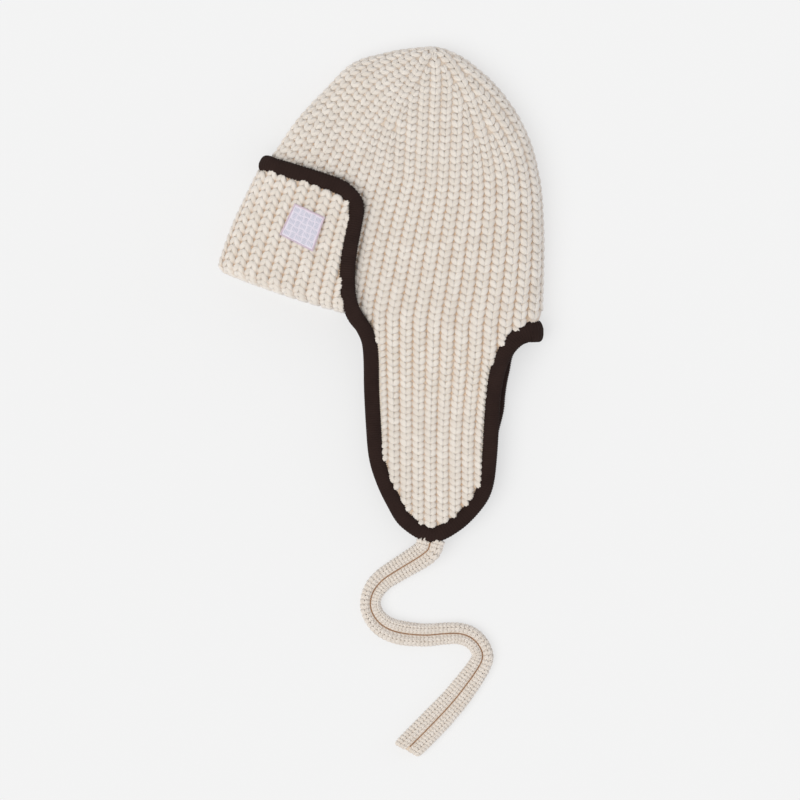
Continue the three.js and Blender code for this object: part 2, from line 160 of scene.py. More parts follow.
def smooth_line(points, per_span=12):
    """Points on a Catmull-Rom curve through the given points."""
    p = np.array(points, dtype=float)
    p = np.vstack([2 * p[0] - p[1], p, 2 * p[-1] - p[-2]])
    t = np.linspace(0, 1, per_span, endpoint=False)[:, None]
    spans = []
    for a, b, c, d in zip(p, p[1:], p[2:], p[3:]):
        spans.append(0.5 * (2 * b + (c - a) * t + (2 * a - 5 * b + 4 * c - d) * t**2
                            + (3 * b - a - 3 * c + d) * t**3))
    return np.vstack([*spans, p[-2]])


def even_line(line, count):
    """The line again with its points at equal distances, and its length."""
    steps = np.linalg.norm(np.diff(line, axis=0), axis=1)
    reach = np.concatenate([[0], np.cumsum(steps)])
    wanted = np.linspace(0, reach[-1], count)
    return np.stack([np.interp(wanted, reach, line[:, k]) for k in range(line.shape[1])], axis=1), reach[-1]


tie_line, tie_length = even_line(smooth_line([TIE_ROOT, *TIE_ROUTE]) * MM, TIE_POINTS)
print("tie length", round(tie_length, 4), "m")

# %% [markdown]
# The flattened hat has one smooth form, and everything knitted follows it. Its courses, the rows of
# knitting, are curves between the front fold and the back fold. A place on the hat is then three numbers:
# the turn once round the hat, the course above the rim, and the distance out from the knit's face. The
# table repeats that of the solid model.

# %% The hat's form
WALL = 5  # thickness of the knit
BINDING_SKIN = 1.3  # thickness of the binding on each side of it
GAP = 0.3  # clearance between pieces that touch
BINDING_HALF = WALL / 2 + GAP + BINDING_SKIN  # half of the bound edge's thickness
EDGE_LIFT = 8  # height of the front and back folds over what they lie on
EDGE_DROP = 14  # how steeply the far side falls from them to the table
FLAP_TOP = 2 * BINDING_HALF + GAP + BINDING_SKIN + GAP + WALL
FLAP_FALL = 62  # length over which the near side comes down from the crown to the far flap
BRIM_STAND = 2  # clearance between crown and brim
BRIM_LIFT = BRIM_STAND + WALL / 2 + BINDING_HALF
BRIM_LIFT_BACK = (0.4, 0.6)  # shares of the way back over which the brim no longer lifts the crown
BRIM_LIFT_UP = (88, 116)  # and the courses over which it no longer does
RIM_LIFT_UP = (4, 30)  # courses over which the binding no longer does
ROUND_CROWN = {"across": 3, "up": 2.2}  # powers of the section's rounding
ROUND_FLAP = {"across": 14, "up": 5}
COURSE_COLUMNS = ("up", "front_x", "front_y", "back_x", "back_y", "sag", "top")
COURSES = [
    (0, -107.8, 20.3, 112.6, -25.2, 11.2, 33),
    (28, -96.6, 52.5, 113.2, 9.8, 17.2, 34),
    (56, -84, 84, 113.4, 44.8, 22.4, 35),
    (84, -67.4, 114, 110.9, 79.9, 26.2, 35),
    (112, -45.7, 140.2, 101.8, 113.2, 28, 33),
    (140, -19.7, 161.9, 83.5, 142.9, 25.2, 29),
    (165, 8.8, 170.4, 61.1, 163.6, 16, 23),
    (180, 26.6, 172.9, 44.7, 171.9, 6, 17),
    (187, 35.7, 173.7, 35.7, 173.7, 0, 10),
]
CROWN_HEIGHT = COURSES[-1][0]
TURN_NUDGE, UP_NUDGE, OUT_NUDGE = 0.004, 1.5, 0.5  # small steps that tell which way the knit faces
courses = dict(zip(COURSE_COLUMNS, np.array(COURSES, dtype=float).T))


def course_value(name, up):
    """A column's value between the table's rows, on a smooth curve through them."""
    ups, values = courses["up"], courses[name]
    last = len(ups) - 1
    before, after = np.maximum(np.arange(last + 1) - 1, 0), np.minimum(np.arange(last + 1) + 1, last)
    slopes = (values[after] - values[before]) / (ups[after] - ups[before])
    i = np.clip(np.searchsorted(ups, up, side="left") - 1, 0, last - 1)
    span = ups[i + 1] - ups[i]
    t = np.clip((up - ups[i]) / span, 0, 1)
    rise = values[i + 1] - values[i]
    bend = t * (1 - t) * ((1 - t) * (slopes[i] * span - rise) - t * (slopes[i + 1] * span - rise))
    return values[i] + rise * t + bend


def ease(value, low, high):
    """Zero below low, one above high, smooth between."""
    t = np.clip((value - low) / (high - low), 0, 1)
    return t * t * (3 - 2 * t)


def mix(a, b, share):
    """The value that lies at this share of the way from a to b."""
    return a + (b - a) * share


def floats(*values):
    """The values as arrays of one common shape."""
    return np.broadcast_arrays(*(np.asarray(value, dtype=float) for value in values))


print(len(COURSES), "courses are given, up to", CROWN_HEIGHT, "mm above the rim")

# %% [markdown]
# One formula turns the three numbers into a place. It bends a course from fold to fold, rounds the section
# between the table and the upper face, and flattens it down the flaps. A sculpted mesh could give the same
# bag, but on a formula the stitches, the walls, the binding and the patch all find the same face.

# %% A place on the knit
def course_plan(up, out):
    """The front end, control point and back end of a course seen from above, grown by out."""
    row = np.maximum(up, 0)
    front = np.stack([course_value("front_x", row), course_value("front_y", row)], axis=-1)
    back = np.stack([course_value("back_x", row), course_value("back_y", row)], axis=-1)
    control = (front + back) / 2
    control[..., 1] -= 2 * course_value("sag", row) + 0.01
    grow = np.asarray(out)[..., None]
    front = front + grow * (front - control) / np.linalg.norm(front - control, axis=-1, keepdims=True)
    back = back + grow * (back - control) / np.linalg.norm(back - control, axis=-1, keepdims=True)
    return front, control, back


def knit_point(turn, up, out):
    """Places on the knit, in millimetres. Turn 0 is the front fold and a half the back fold."""
    turn, up, out = floats(turn, up, out)
    across = np.cos(2 * np.pi * turn)
    share = (1 - across) / 2
    settled = ease(-up, 0, FLAP_FALL)
    power_across = mix(ROUND_CROWN["across"], ROUND_FLAP["across"], settled)
    power_up = mix(ROUND_CROWN["up"], ROUND_FLAP["up"], settled)
    swell = np.maximum(1 - np.abs(across) ** power_across, 0) ** (1 / power_up)
    rim_lift = (BINDING_SKIN + GAP) * (1 - ease(up, *RIM_LIFT_UP))
    brim_lift = BRIM_LIFT * (1 - ease(share, *BRIM_LIFT_BACK)) * (1 - ease(up, *BRIM_LIFT_UP))
    lift = np.maximum(rim_lift, mix(brim_lift, rim_lift, settled))
    edge = mix(lift + EDGE_LIFT, (FLAP_TOP + BINDING_SKIN + GAP) / 2, settled)
    top = mix(course_value("top", np.maximum(up, 0)), FLAP_TOP, settled)
    front, control, back = course_plan(up, out)
    s = share[..., None]
    plan = (1 - s) ** 2 * front + 2 * s * (1 - s) * control + s**2 * back
    near = np.sin(2 * np.pi * turn) >= 0
    height = np.where(near, edge + (top + out - edge) * swell,
                      np.maximum(lift - out, edge - (EDGE_DROP + out) * swell))
    return np.stack([plan[..., 0], plan[..., 1] + np.minimum(up, 0), height], axis=-1)


def knit_face(turn, up, out):
    """The knit's outward direction, square to its face."""
    around = knit_point(turn + TURN_NUDGE, up, out) - knit_point(turn - TURN_NUDGE, up, out)
    upward = knit_point(turn, up + UP_NUDGE, out) - knit_point(turn, up - UP_NUDGE, out)
    face = np.cross(around, upward)
    outward = knit_point(turn, up, out + OUT_NUDGE) - knit_point(turn, up, out - OUT_NUDGE)
    face *= np.sign(np.sum(face * outward, axis=-1, keepdims=True))
    return face / np.linalg.norm(face, axis=-1, keepdims=True)


print("the flap's face is", round(FLAP_TOP, 1), "mm high at its tip")
print("the crown's tip is at", knit_point(0.25, CROWN_HEIGHT, 0.0).round(1))

# %% [markdown]
# The binding's middle line tells where the knit ends. It runs back along the brim's top, down its side,
# over to the flap, round the flap's tip and up to the nape. A signed distance from it sorts the stitches:
# those on its left belong to the crown and the flap, those on its right to the brim.

# %% The binding's line
BINDING_LINE = [
    (-76, 91), (-67.9, 88.6), (-45.5, 81.6), (-30.1, 76.3), (-21.7, 70.4), (-16.8, 62.3), (-17.9, 51.1),
    (-21.7, 30.1), (-23.1, 11.9), (-22.1, -2.1), (-18.2, -14), (-12.6, -22.4), (-8.4, -32.2), (-7, -45.5),
    (-6.7, -66.5), (-5.6, -88.9), (-3.5, -112.7), (1.4, -129.5), (8.8, -145.2), (17.9, -159),
    (35.4, -168.3), (52.8, -160.6), (66.9, -146.5), (73.5, -133.7), (76.3, -112.7), (77.7, -88.9),
    (79.1, -67.9), (82.6, -50.4), (88.2, -38.5), (95.9, -29.4), (103, -26),
]
LINE_POINTS = 240
LINE_RUN_OUT = 60  # how many times its first and last step are drawn on beyond its ends
BEHIND_TIP = 40  # x past which the line runs up the flap's back edge
FAR_PEEK = 3.4  # how far the far flap's back edge shows beyond the near one
PEEK_BEGINS, PEEK_ENDS = (34, 54), (76, 100)  # depths below the origin between which it comes and goes
BRIM_FRONT_UP = 63  # course at which the binding crosses the front fold
NAPE_UP = -0.6  # and the back fold
NAPE_BEND = (84, 104)  # x over which it turns from the flap's edge to the nape
NAPE_FLARE = 0.3  # how much wider the binding lies where it turns round the nape
NOTCH_TOP, NOTCH_BOTTOM = -10, -34  # y between which it passes from the brim to the flap

near_line, _ = even_line(smooth_line(BINDING_LINE), LINE_POINTS)
far_shown = np.where(near_line[:, 0] > BEHIND_TIP, ease(-near_line[:, 1], *PEEK_BEGINS), 0)
far_shown *= 1 - ease(-near_line[:, 1], *PEEK_ENDS)
far_line = near_line + np.stack([FAR_PEEK * far_shown, np.zeros(len(near_line))], axis=1)


def at_nape(x):
    """Zero up to the flap's back edge and one where the binding turns round the nape."""
    return ease(x, *NAPE_BEND)


def nape_flare(x):
    """How much wider than elsewhere the binding lies at this distance back."""
    return 1 + NAPE_FLARE * at_nape(x)


def left_of(line, places):
    """Distance of places, seen from above, from a line: positive on its left side."""
    first, last = (line[1] - line[0]) * LINE_RUN_OUT, (line[-1] - line[-2]) * LINE_RUN_OUT
    ends = np.vstack([line[0] - first, line, line[-1] + last])
    start, step = ends[:-1], np.diff(ends, axis=0)
    offset = places[:, None, :] - start[None]
    along = np.clip((offset * step).sum(-1) / (step**2).sum(-1), 0, 1)
    miss = offset - along[..., None] * step
    gap = np.linalg.norm(miss, axis=-1)
    nearest = gap.argmin(axis=1)
    rows = np.arange(len(places))
    chosen = miss[rows, nearest]
    side = step[nearest, 0] * chosen[:, 1] - step[nearest, 1] * chosen[:, 0]
    return np.sign(side) * gap[rows, nearest]


print("the middle of the crown is", left_of(near_line, np.array([[50.0, 50.0]])).round(1), "mm inside")

# %% [markdown]
# A wale is a column of stitches. Fifty wales stand side by side round the hat. Above the middle of the crown
# it narrows in five gores, each between two wales that run on to the tip. The wales of a gore keep one
# width and stay parallel, and the outer ones taper away against those two. The front of the hat is pulled
# in by the brim, so its wales are narrower than those at the back. A table of arc lengths, worked out here,
# tells how far round the hat each wale lies.

# %% Wales and courses
WALES = 50
HALF_WALES = WALES // 2
GORE_WALES = 10
ROW = 4.75  # height of one course of stitches
FLAP_ROW = 4.55  # and on the flaps
FLAP_REACH = 165  # how far down the flaps' stitches may go
FINEST_PITCH = 7.7  # width of a wale in the gores
LEAST_WALE = 0.16  # share of that width at which a tapering wale ends
FRONT_WALE = 0.87  # width of a wale at the front fold, as a share of the average
FLAP_MIDDLE_WALE = 15
FLAP_BUNCH = 0.11  # how much closer the wales lie near a flap's tip
FLAP_BUNCHED = 90  # depth below the rim from which they do
TABLE_ROWS, TABLE_COLUMNS, ARC_STEPS = 94, 401, 241
SHARED_AT = 2.0  # depth under the knit's face at which the wales share out its length


def width_share(quarter):
    """A wale's width as a share of the average, by its place from the front fold, 0, to the back fold, 1."""
    return mix(FRONT_WALE, 2 - FRONT_WALE, quarter)


table_ups = np.linspace(0, CROWN_HEIGHT - 1, TABLE_ROWS)
table_wales = np.linspace(0, WALES, TABLE_COLUMNS)
wale_turns = np.empty((len(table_ups), len(table_wales)))
wale_pitches = np.empty((len(table_ups), 2))
half_turns = np.linspace(0, 0.5, ARC_STEPS)
for row, up in enumerate(table_ups):
    for side in (0, 1):
        ring = knit_point(half_turns + side / 2, up, -SHARED_AT)
        reach = np.concatenate([[0], np.cumsum(np.linalg.norm(np.diff(ring, axis=0), axis=1))])
        mine = (table_wales >= side * HALF_WALES) & (table_wales <= (side + 1) * HALF_WALES)
        place = table_wales[mine] / HALF_WALES - side
        place = 1 - place if side else place
        place = (FRONT_WALE + (1 - FRONT_WALE) * place) * place
        place = 1 - place if side else place
        wale_turns[row, mine] = np.interp(place * reach[-1], reach, half_turns) + side / 2
        wale_pitches[row, side] = reach[-1] / HALF_WALES


def table_row(up):
    """The table's row below a course, and the share of the way to the next row."""
    row = np.clip(up, 0, table_ups[-1]) / table_ups[-1] * (TABLE_ROWS - 1)
    low = np.minimum(row.astype(int), TABLE_ROWS - 2)
    return low, row - low


print("wale pitch", wale_pitches[0].round(2), "mm at the rim")

# %% [markdown]
# A place on the knit is easiest to give in wales and courses, as a knitter counts them. On a flap the wales
# draw together towards its tip. Making the stitches there smaller would leave them in straight columns, so
# the count of wales itself is bent.

# %% From a wale to its place
def bunch(wale, up):
    """The middle wale of a flap and how close its wales have drawn together at this course."""
    middle = np.where(np.mod(wale, WALES) < HALF_WALES, FLAP_MIDDLE_WALE, WALES - FLAP_MIDDLE_WALE)
    return middle, 1 - FLAP_BUNCH * ease(-up, 0, FLAP_BUNCHED)


def bunched(wale, up):
    """Where a wale of a flap lies, counted in wales of the rim."""
    middle, close = bunch(wale, up)
    return middle + (np.mod(wale, WALES) - middle) * close


def loosened(wale, up):
    """The wale that lies where one of the rim, led straight down, would lie."""
    middle, close = bunch(wale, up)
    return middle + (np.mod(wale, WALES) - middle) / close


def turn_of(wale, up):
    """The turn of a place that is a number of wales round from the front fold."""
    wale, up = floats(wale, up)
    wale = np.where(up < 0, bunched(wale, up), wale)
    column = np.mod(wale, WALES) / WALES * (TABLE_COLUMNS - 1)
    c = np.minimum(column.astype(int), TABLE_COLUMNS - 2)
    r, share = table_row(up)
    low = mix(wale_turns[r, c], wale_turns[r, c + 1], column - c)
    high = mix(wale_turns[r + 1, c], wale_turns[r + 1, c + 1], column - c)
    return mix(low, high, share)


def pitch_at(wale, up):
    """Average width that the wales of a side would have at this course if none had ended."""
    side = (np.mod(wale, WALES) >= HALF_WALES).astype(int)
    r, share = table_row(up)
    return mix(wale_pitches[r, side], wale_pitches[r + 1, side], share)


def from_front(wale):
    """Zero on the front fold and one on the back fold, on either side."""
    return 1 - np.abs(np.mod(wale, WALES) / HALF_WALES - 1)


print("the flap's middle and the back fold lie at turn", turn_of([FLAP_MIDDLE_WALE, HALF_WALES], 0).round(3))

# %% [markdown]
# Where the crown narrows, the knitter has knitted two stitches together, again and again, beside the same
# wales. Here each stitch gets the width that its wale has left at its course, and is dropped where almost
# none is left. So the columns run out one by one, as they do on the hat.

# %% The grid of stitches
def stitch_grid(first_row, last_row, row_height):
    """The stitches between two rows: their wale's place, course, width and width in wales."""
    wale, row = np.meshgrid(np.arange(WALES), np.arange(first_row, last_row), indexing="ij")
    wale, up = wale.ravel().astype(float), row.ravel() * float(row_height)
    pitch = pitch_at(wale, up)
    widen = np.maximum(1, FINEST_PITCH / pitch)
    gore_middle = (wale // GORE_WALES + 0.5) * GORE_WALES
    from_middle = wale - gore_middle
    room = GORE_WALES / 2 / widen - 0.5
    low = np.where(from_middle == 0, -np.minimum(0.5, room), np.abs(from_middle) - 0.5)
    high = np.minimum(np.abs(from_middle) + 0.5, room)
    seam_and_shade_line = np.mod(wale, GORE_WALES) == 0
    width = np.where(seam_and_shade_line, 1, high - low)
    place = np.where(seam_and_shade_line, wale, gore_middle + np.sign(from_middle) * (low + high) / 2 * widen)
    kept = width > LEAST_WALE
    size = pitch * width_share(from_front(place)) * widen * width
    return place[kept], up[kept], size[kept], (widen * width)[kept]


print("ten courses above the rim have", len(stitch_grid(0, 10, ROW)[0]), "stitches")

# %% [markdown]
# Each stitch shows as a V of two plump legs of yarn. A picture of stitches or a bump would look right from
# straight above, but the hat's outline would stay smooth. So each leg is a bean, placed by Geometry Nodes on
# a point that carries its direction, the face it lies on and its size. One tree serves every knitted piece,
# with its sizes as inputs.

# %% Yarn legs as a Geometry Nodes tree
PLUMP = 0.3  # how full a leg's ends are, beyond those of a plain long ball


def leg_tree():
    tree = bpy.data.node_groups.new("yarn_legs", "GeometryNodeTree")
    sockets = [
        ("Places", "INPUT", "NodeSocketGeometry", None),
        ("Sides", "INPUT", "NodeSocketInt", 8),
        ("Rings", "INPUT", "NodeSocketInt", 6),
        ("Bow", "INPUT", "NodeSocketFloat", 0.25),
        ("Uneven", "INPUT", "NodeSocketFloat", 0.07),
        ("Seed", "INPUT", "NodeSocketInt", 1),
        ("Yarn", "INPUT", "NodeSocketMaterial", None),
        ("Knit", "OUTPUT", "NodeSocketGeometry", None),
    ]
    for name, direction, kind, value in sockets:
        made = tree.interface.new_socket(name, in_out=direction, socket_type=kind)
        if value is not None:
            made.default_value = value
    board = Board(tree)
    given = board.make("NodeGroupInput")
    ball = board.make("GeometryNodeMeshUVSphere", None, {"Segments": given["Sides"], "Rings": given["Rings"]})
    place = board.make("ShaderNodeSeparateXYZ", None, {0: board.make("GeometryNodeInputPosition")})
    plump = (1 + place["Z"] * place["Z"] * PLUMP).math("SQRT")
    bowed = board.make("ShaderNodeCombineXYZ", None, {
        "X": place["X"] * plump + given["Bow"] * (1 - place["Z"] * place["Z"]),
        "Y": place["Y"] * plump,
        "Z": place["Z"],
    })
    bean = board.make("GeometryNodeSetPosition", None, {"Geometry": ball, "Position": bowed})
    bean = board.make("GeometryNodeStoreNamedAttribute", {"data_type": "FLOAT2", "domain": "CORNER"},
                      {"Geometry": bean, "Name": "yarn_uv", "Value": ball["UV Map"]})
    # the outer half of each leg is marked as lying in a valley, where the wool paints shade
    bean = board.make("GeometryNodeStoreNamedAttribute", {"data_type": "FLOAT", "domain": "POINT"},
                      {"Geometry": bean, "Name": "valley", "Value": place["Z"].math("MAXIMUM", 0.0)})

    def named(kind, name):
        return board.make("GeometryNodeInputNamedAttribute", {"data_type": kind}, {"Name": name})

    turned = board.make("FunctionNodeAxesToRotation", {"primary_axis": "Z", "secondary_axis": "X"},
                        {"Primary Axis": named("FLOAT_VECTOR", "along"),
                         "Secondary Axis": named("FLOAT_VECTOR", "face")})
    chance = board.make("FunctionNodeRandomValue", {"data_type": "FLOAT"},
                        {2: 1 - given["Uneven"], 3: 1 + given["Uneven"], "Seed": given["Seed"]}, output=1)
    size = board.make("ShaderNodeVectorMath", {"operation": "SCALE"},
                      {0: named("FLOAT_VECTOR", "size"), "Scale": chance})
    tint = board.make("FunctionNodeRandomValue", {"data_type": "FLOAT"},
                      {2: 0.0, 3: 1.0, "Seed": given["Seed"] + 7}, output=1)
    places = board.make("GeometryNodeStoreNamedAttribute", {"data_type": "FLOAT", "domain": "POINT"},
                        {"Geometry": given["Places"], "Name": "tint", "Value": tint})
    copies = board.make("GeometryNodeInstanceOnPoints", None,
                        {"Points": places, "Instance": bean, "Rotation": turned, "Scale": size})
    real = board.make("GeometryNodeRealizeInstances", None, {"Geometry": copies})
    smooth = board.make("GeometryNodeSetShadeSmooth", None, {"Geometry": real})
    dyed = board.make("GeometryNodeSetMaterial", None, {"Geometry": smooth, "Material": given["Yarn"]})
    board.make("NodeGroupOutput", None, {"Knit": dyed})
    return tree


YARN_LEGS = leg_tree()
print("the tree has", len(YARN_LEGS.nodes), "nodes")

# %% [markdown]
# The tree's result becomes a plain mesh, one for each knitted piece. The hat's weight presses the yarn flat
# where it lies on the table. A cloth simulation could find that, but the mesh is simply levelled there,
# because nobody sees more of it than its edge.

# %% Plain meshes from the tree
def plain_mesh(name, points, faces=(), material=None):
    """An object at the origin from points in metres."""
    mesh = bpy.data.meshes.new(name)
    mesh.from_pydata([tuple(point) for point in points], [], [tuple(int(i) for i in face) for face in faces])
    mesh.update()
    mesh.polygons.foreach_set("use_smooth", [True] * len(mesh.polygons))
    if material:
        mesh.materials.append(material)
    made = bpy.data.objects.new(name, mesh)
    bpy.context.collection.objects.link(made)
    return made


def outward(made):
    """Turns a closed mesh's faces to point out."""
    work = bmesh.new()
    work.from_mesh(made.data)
    bmesh.ops.recalc_face_normals(work, faces=work.faces)
    work.to_mesh(made.data)
    work.free()
    return made


TABLE_GAP = 0.1 * MM


def press_flat(mesh):
    """Yarn that would reach into the table lies flat on it instead."""
    places = np.empty(3 * len(mesh.vertices), dtype=np.float32)
    mesh.vertices.foreach_get("co", places)
    places[2::3] = np.maximum(places[2::3], TABLE_GAP)
    mesh.vertices.foreach_set("co", places)
    mesh.update()


def knit_legs(name, legs, material, **inputs):
    """Turns a table of legs, with middle, along, face and size in metres, into a plain mesh of yarn."""
    carrier = plain_mesh(name + "_places", legs["middle"])
    for column in ("along", "face", "size"):
        data = carrier.data.attributes.new(column, "FLOAT_VECTOR", "POINT")
        data.data.foreach_set("vector", legs[column].astype(np.float32).ravel())
    modifier = carrier.modifiers.new("yarn", "NODES")
    modifier.node_group = YARN_LEGS
    identifiers = {item.name: item.identifier for item in YARN_LEGS.interface.items_tree}
    for key, value in {"Yarn": material, **inputs}.items():
        modifier[identifiers[key]] = value
    evaluated = carrier.evaluated_get(bpy.context.evaluated_depsgraph_get())
    mesh = bpy.data.meshes.new_from_object(evaluated)
    mesh.name = name
    press_flat(mesh)
    bpy.data.objects.remove(carrier)
    made = bpy.data.objects.new(name, mesh)
    bpy.context.collection.objects.link(made)
    print(name, len(legs["middle"]), "legs,", len(mesh.loops) - 2 * len(mesh.polygons), "triangles")
    return made


def fit(piece, slot, *nodes):
    """The piece moves with the hat and stands for these solids, which are hidden. Slot is not used."""
    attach(piece, "root")
    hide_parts(*nodes)
    return piece


print("the yarn stays", TABLE_GAP / MM, "mm above the table")

# %% [markdown]
# Wool is matt, with a soft sheen from loose fibres. A picture of yarn could be wrapped round each leg, but
# noise and a wave give the same at any distance. The colour wanders a little from stitch to stitch and along
# the yarn, and each strand shows the twist of its plies, a bump that follows the leg's own coordinates. The
# shade in the valleys between the wales, warmer and darker, is painted: a leg is tinted towards its outer
# end, and the wall behind the stitches along the same lines. Both carry an attribute that says how deep in a
# valley they are.

# %% Wool
# painted shade: a warm, darker tan that stands in for the shade in the valleys between the wales
VALLEY_PAINTED_SHADE = colour(206, 175, 144)
VALLEY_SHADE_SHARE = 0.6  # share of it at the bottom of a valley between the knit's wales
COOL_SHEEN = (0.8, 0.87, 1, 1)
CLOUD_SCALE = 90.0  # noise per metre: patches of colour about a centimetre wide
FIBRE_SCALE = 1900.0  # and single fibres
ROUND_PLIES, LONG_PLIES = 5, 2.2  # plies counted round a leg, and how far they wind along it
FULL_TURN = 6.2832
YARN_RELIEF = 0.35 * MM


def wool(name, pale, deep, twist=1.0, sheen=0.45, shine=0.4, valley=0.0):
    """A matt knitting yarn. Pale and deep are the colours it varies between; valley is how much painted shade
    darkens its valleys.
    """
    material = bpy.data.materials.new(name)
    material.use_nodes = True
    material.node_tree.nodes.clear()
    board = Board(material.node_tree)
    place = board.make("ShaderNodeTexCoord")["Object"]
    yarn = board.make("ShaderNodeSeparateXYZ", None,
                      {0: board.make("ShaderNodeAttribute", {"attribute_name": "yarn_uv"})["Vector"]})
    tint = board.make("ShaderNodeAttribute", {"attribute_name": "tint"})["Fac"]
    cloud = board.make("ShaderNodeTexNoise", None, {"Vector": place, "Scale": CLOUD_SCALE, "Detail": 3.0})
    fibre = board.make("ShaderNodeTexNoise", None, {"Vector": place, "Scale": FIBRE_SCALE, "Detail": 4.0})
    share = tint * 0.45 + cloud * 0.55 + (fibre - 0.5) * 0.35
    shade = board.make("ShaderNodeMix", {"data_type": "RGBA"}, {0: share, 6: deep, 7: pale}, output=2)
    if valley:
        # painted shade: the colour darkens towards the warm tan where the valley attribute is high
        low = board.make("ShaderNodeAttribute", {"attribute_name": "valley"})["Fac"]
        valley_shade_inputs = {0: low * low * valley, 6: shade, 7: VALLEY_PAINTED_SHADE}
        shade = board.make("ShaderNodeMix", {"data_type": "RGBA"}, valley_shade_inputs, output=2)
    plies = ((yarn["X"] * ROUND_PLIES + yarn["Y"] * LONG_PLIES) * FULL_TURN).math("SINE")
    height = plies * (0.5 * twist) + fibre * 0.6
    bump = board.make("ShaderNodeBump", None, {"Strength": 0.5, "Distance": YARN_RELIEF, "Height": height})
    coat = board.make("ShaderNodeBsdfPrincipled", None, {
        "Base Color": shade, "Roughness": 0.92, "Specular IOR Level": shine, "Normal": bump,
        "Sheen Weight": sheen, "Sheen Roughness": 0.6, "Sheen Tint": COOL_SHEEN,
    })
    board.make("ShaderNodeOutputMaterial", None, {"Surface": coat})
    return material


# the valley arguments set how much painted valley shade each wool gets
KNIT_WOOL = wool("cream_wool", colour(239, 231, 221), colour(220, 209, 196), valley=VALLEY_SHADE_SHARE)
WALL_WOOL = wool("wall_wool", colour(237, 226, 213), colour(219, 205, 188), twist=0, valley=1.0)
# the tie core is real yarn, but its tan is darker than the yarn: painted shade in the gaps between the tie's
# stitches
CORE_SHADE_WOOL = wool("core_shade_wool", colour(234, 218, 200), colour(214, 194, 172), twist=0)
BINDING_WOOL = wool("brown_wool", colour(59, 43, 38), colour(39, 27, 24), twist=0, sheen=0, shine=0.12)
TIE_WOOL = wool("tie_wool", colour(238, 229, 219), colour(219, 206, 191), valley=0.4)
# painted shade: the dark tan of the shaded groove between the tie's rolls
GROOVE_SHADE_WOOL = wool("groove_shade_wool", colour(178, 136, 98), colour(134, 96, 66), twist=0)
print("wools made")

# %% [markdown]
# The legs of one stitch start close together at the stitch's foot and spread towards its head, which tucks
# under the foot of the stitch above. Each leg could be modelled where it lies, but a foot and a head in
# wales and courses are enough: the hat's form then makes the stitches lean, crowd and stretch.

# %% The legs of a stitch
STRAND = 3.1  # thickness of the yarn of a stitch, square to the face
SLIM_LEG, LEG_GAIN = 0.4, 0.3  # a narrow wale's legs are this wide, and gain this with its width, in rows
LEG_LENGTH = 1.9  # length of a leg as a share of the way from foot to head
LEAN = 0.35  # slope of a wale's two flanks, on which the legs lie
FOOT = {"across": 0.1, "up": -0.33, "sink": 0.44}
HEAD = {"across": 0.34, "up": 0.33, "sink": 0.68}


def stitch_legs(surface, grid, row_height, inner=False, flip=False, strand=STRAND):
    """The two legs of every stitch. Surface gives places in millimetres from wale, course and sink."""
    wale, up, pitch, widen = grid
    sense = -1 if flip else 1
    deep = strand / 2
    one = surface(wale + 0.25 * widen, up, deep) - surface(wale - 0.25 * widen, up, deep)
    one /= np.linalg.norm(one, axis=1, keepdims=True)
    two = surface(wale, up + UP_NUDGE, deep) - surface(wale, up - UP_NUDGE, deep)
    face = np.cross(one, two) * (-1 if inner else 1)
    face /= np.linalg.norm(face, axis=1, keepdims=True)
    tables = []
    for side in (-1, 1):
        ends = []
        for end in (FOOT, HEAD):
            place = wale + side * end["across"] * widen, up + sense * end["up"] * row_height
            ends.append(surface(*place, strand * end["sink"]))
        along = ends[1] - ends[0]
        length = np.linalg.norm(along, axis=1)
        width = row_height * np.minimum(1, SLIM_LEG + LEG_GAIN * pitch / row_height)
        size = np.stack([np.full_like(length, strand), width, length * LEG_LENGTH], axis=1) / 2
        middle = (ends[0] + ends[1]) / 2
        flank = face + side * LEAN * one
        tables.append({"middle": middle * MM, "along": along, "face": flank, "size": size * MM})
    return {key: np.concatenate([table[key] for table in tables]) for key in tables[0]}


print("a leg is", STRAND, "mm thick and lies on a slope of", LEAN)

# %% [markdown]
# The outer stitches stand a little proud of the solid model's face, less on the flaps and not at all on the
# table. Above the brim the crown's front fold is drawn in. The dark binding hides the last stitches at the
# edge. They could stay there inside it, but some would poke through the strip, so they are left out.

# %% Stitches on the hat's outside
STAND_OUT = 1.3  # how far the crown's stitches stand out past the solid model's face
STAND_UP = (-20, 40)  # courses over which the flaps' stand-out grows to the crown's
FLAP_STAND = 0.25  # share of it on the flaps
LIES_DOWN = (-0.85, -0.15)  # heights round the section between which none is left on the table
FRONT_TUCK = 2.6  # how far the crown's front fold is drawn in above the brim
TUCK_BEGINS, TUCK_ENDS = (50, 80), (116, 142)  # courses between which that comes and goes
TUCK_POWER = 6  # keeps it to the fold


def outer_face(wale, up, sink):
    """Places under the outer stitches' face, by wale, course and depth."""
    turn = turn_of(wale, up)
    stand = STAND_OUT * mix(FLAP_STAND, 1, ease(up, *STAND_UP)) * ease(np.sin(2 * np.pi * turn), *LIES_DOWN)
    front_fold = np.maximum(np.cos(2 * np.pi * turn), 0) ** TUCK_POWER
    stand -= FRONT_TUCK * front_fold * ease(up, *TUCK_BEGINS) * (1 - ease(up, *TUCK_ENDS))
    return knit_point(turn, up, stand - sink)


def inner_face(wale, up, sink):
    """Places behind the face inside the hat."""
    return knit_point(turn_of(wale, up), up, sink - WALL)


def pick(grid, kept):
    """The stitches of a grid that are kept."""
    return tuple(column[kept] for column in grid)


def is_near(grid):
    """Which stitches of a grid lie on the side that faces up."""
    return np.mod(grid[0], WALES) < HALF_WALES


def beside(line, legs, cover, side=1):
    """Legs farther than cover from the binding's middle line, on its left side or, for -1, its right."""
    places = legs["middle"][:, :2] / MM
    kept = side * left_of(line, places) > cover * nape_flare(places[:, 0]) ** 2
    return {key: column[kept] for key, column in legs.items()}


EDGE_COVER = 5.3  # a leg nearer than this to the binding's middle line is hidden by it

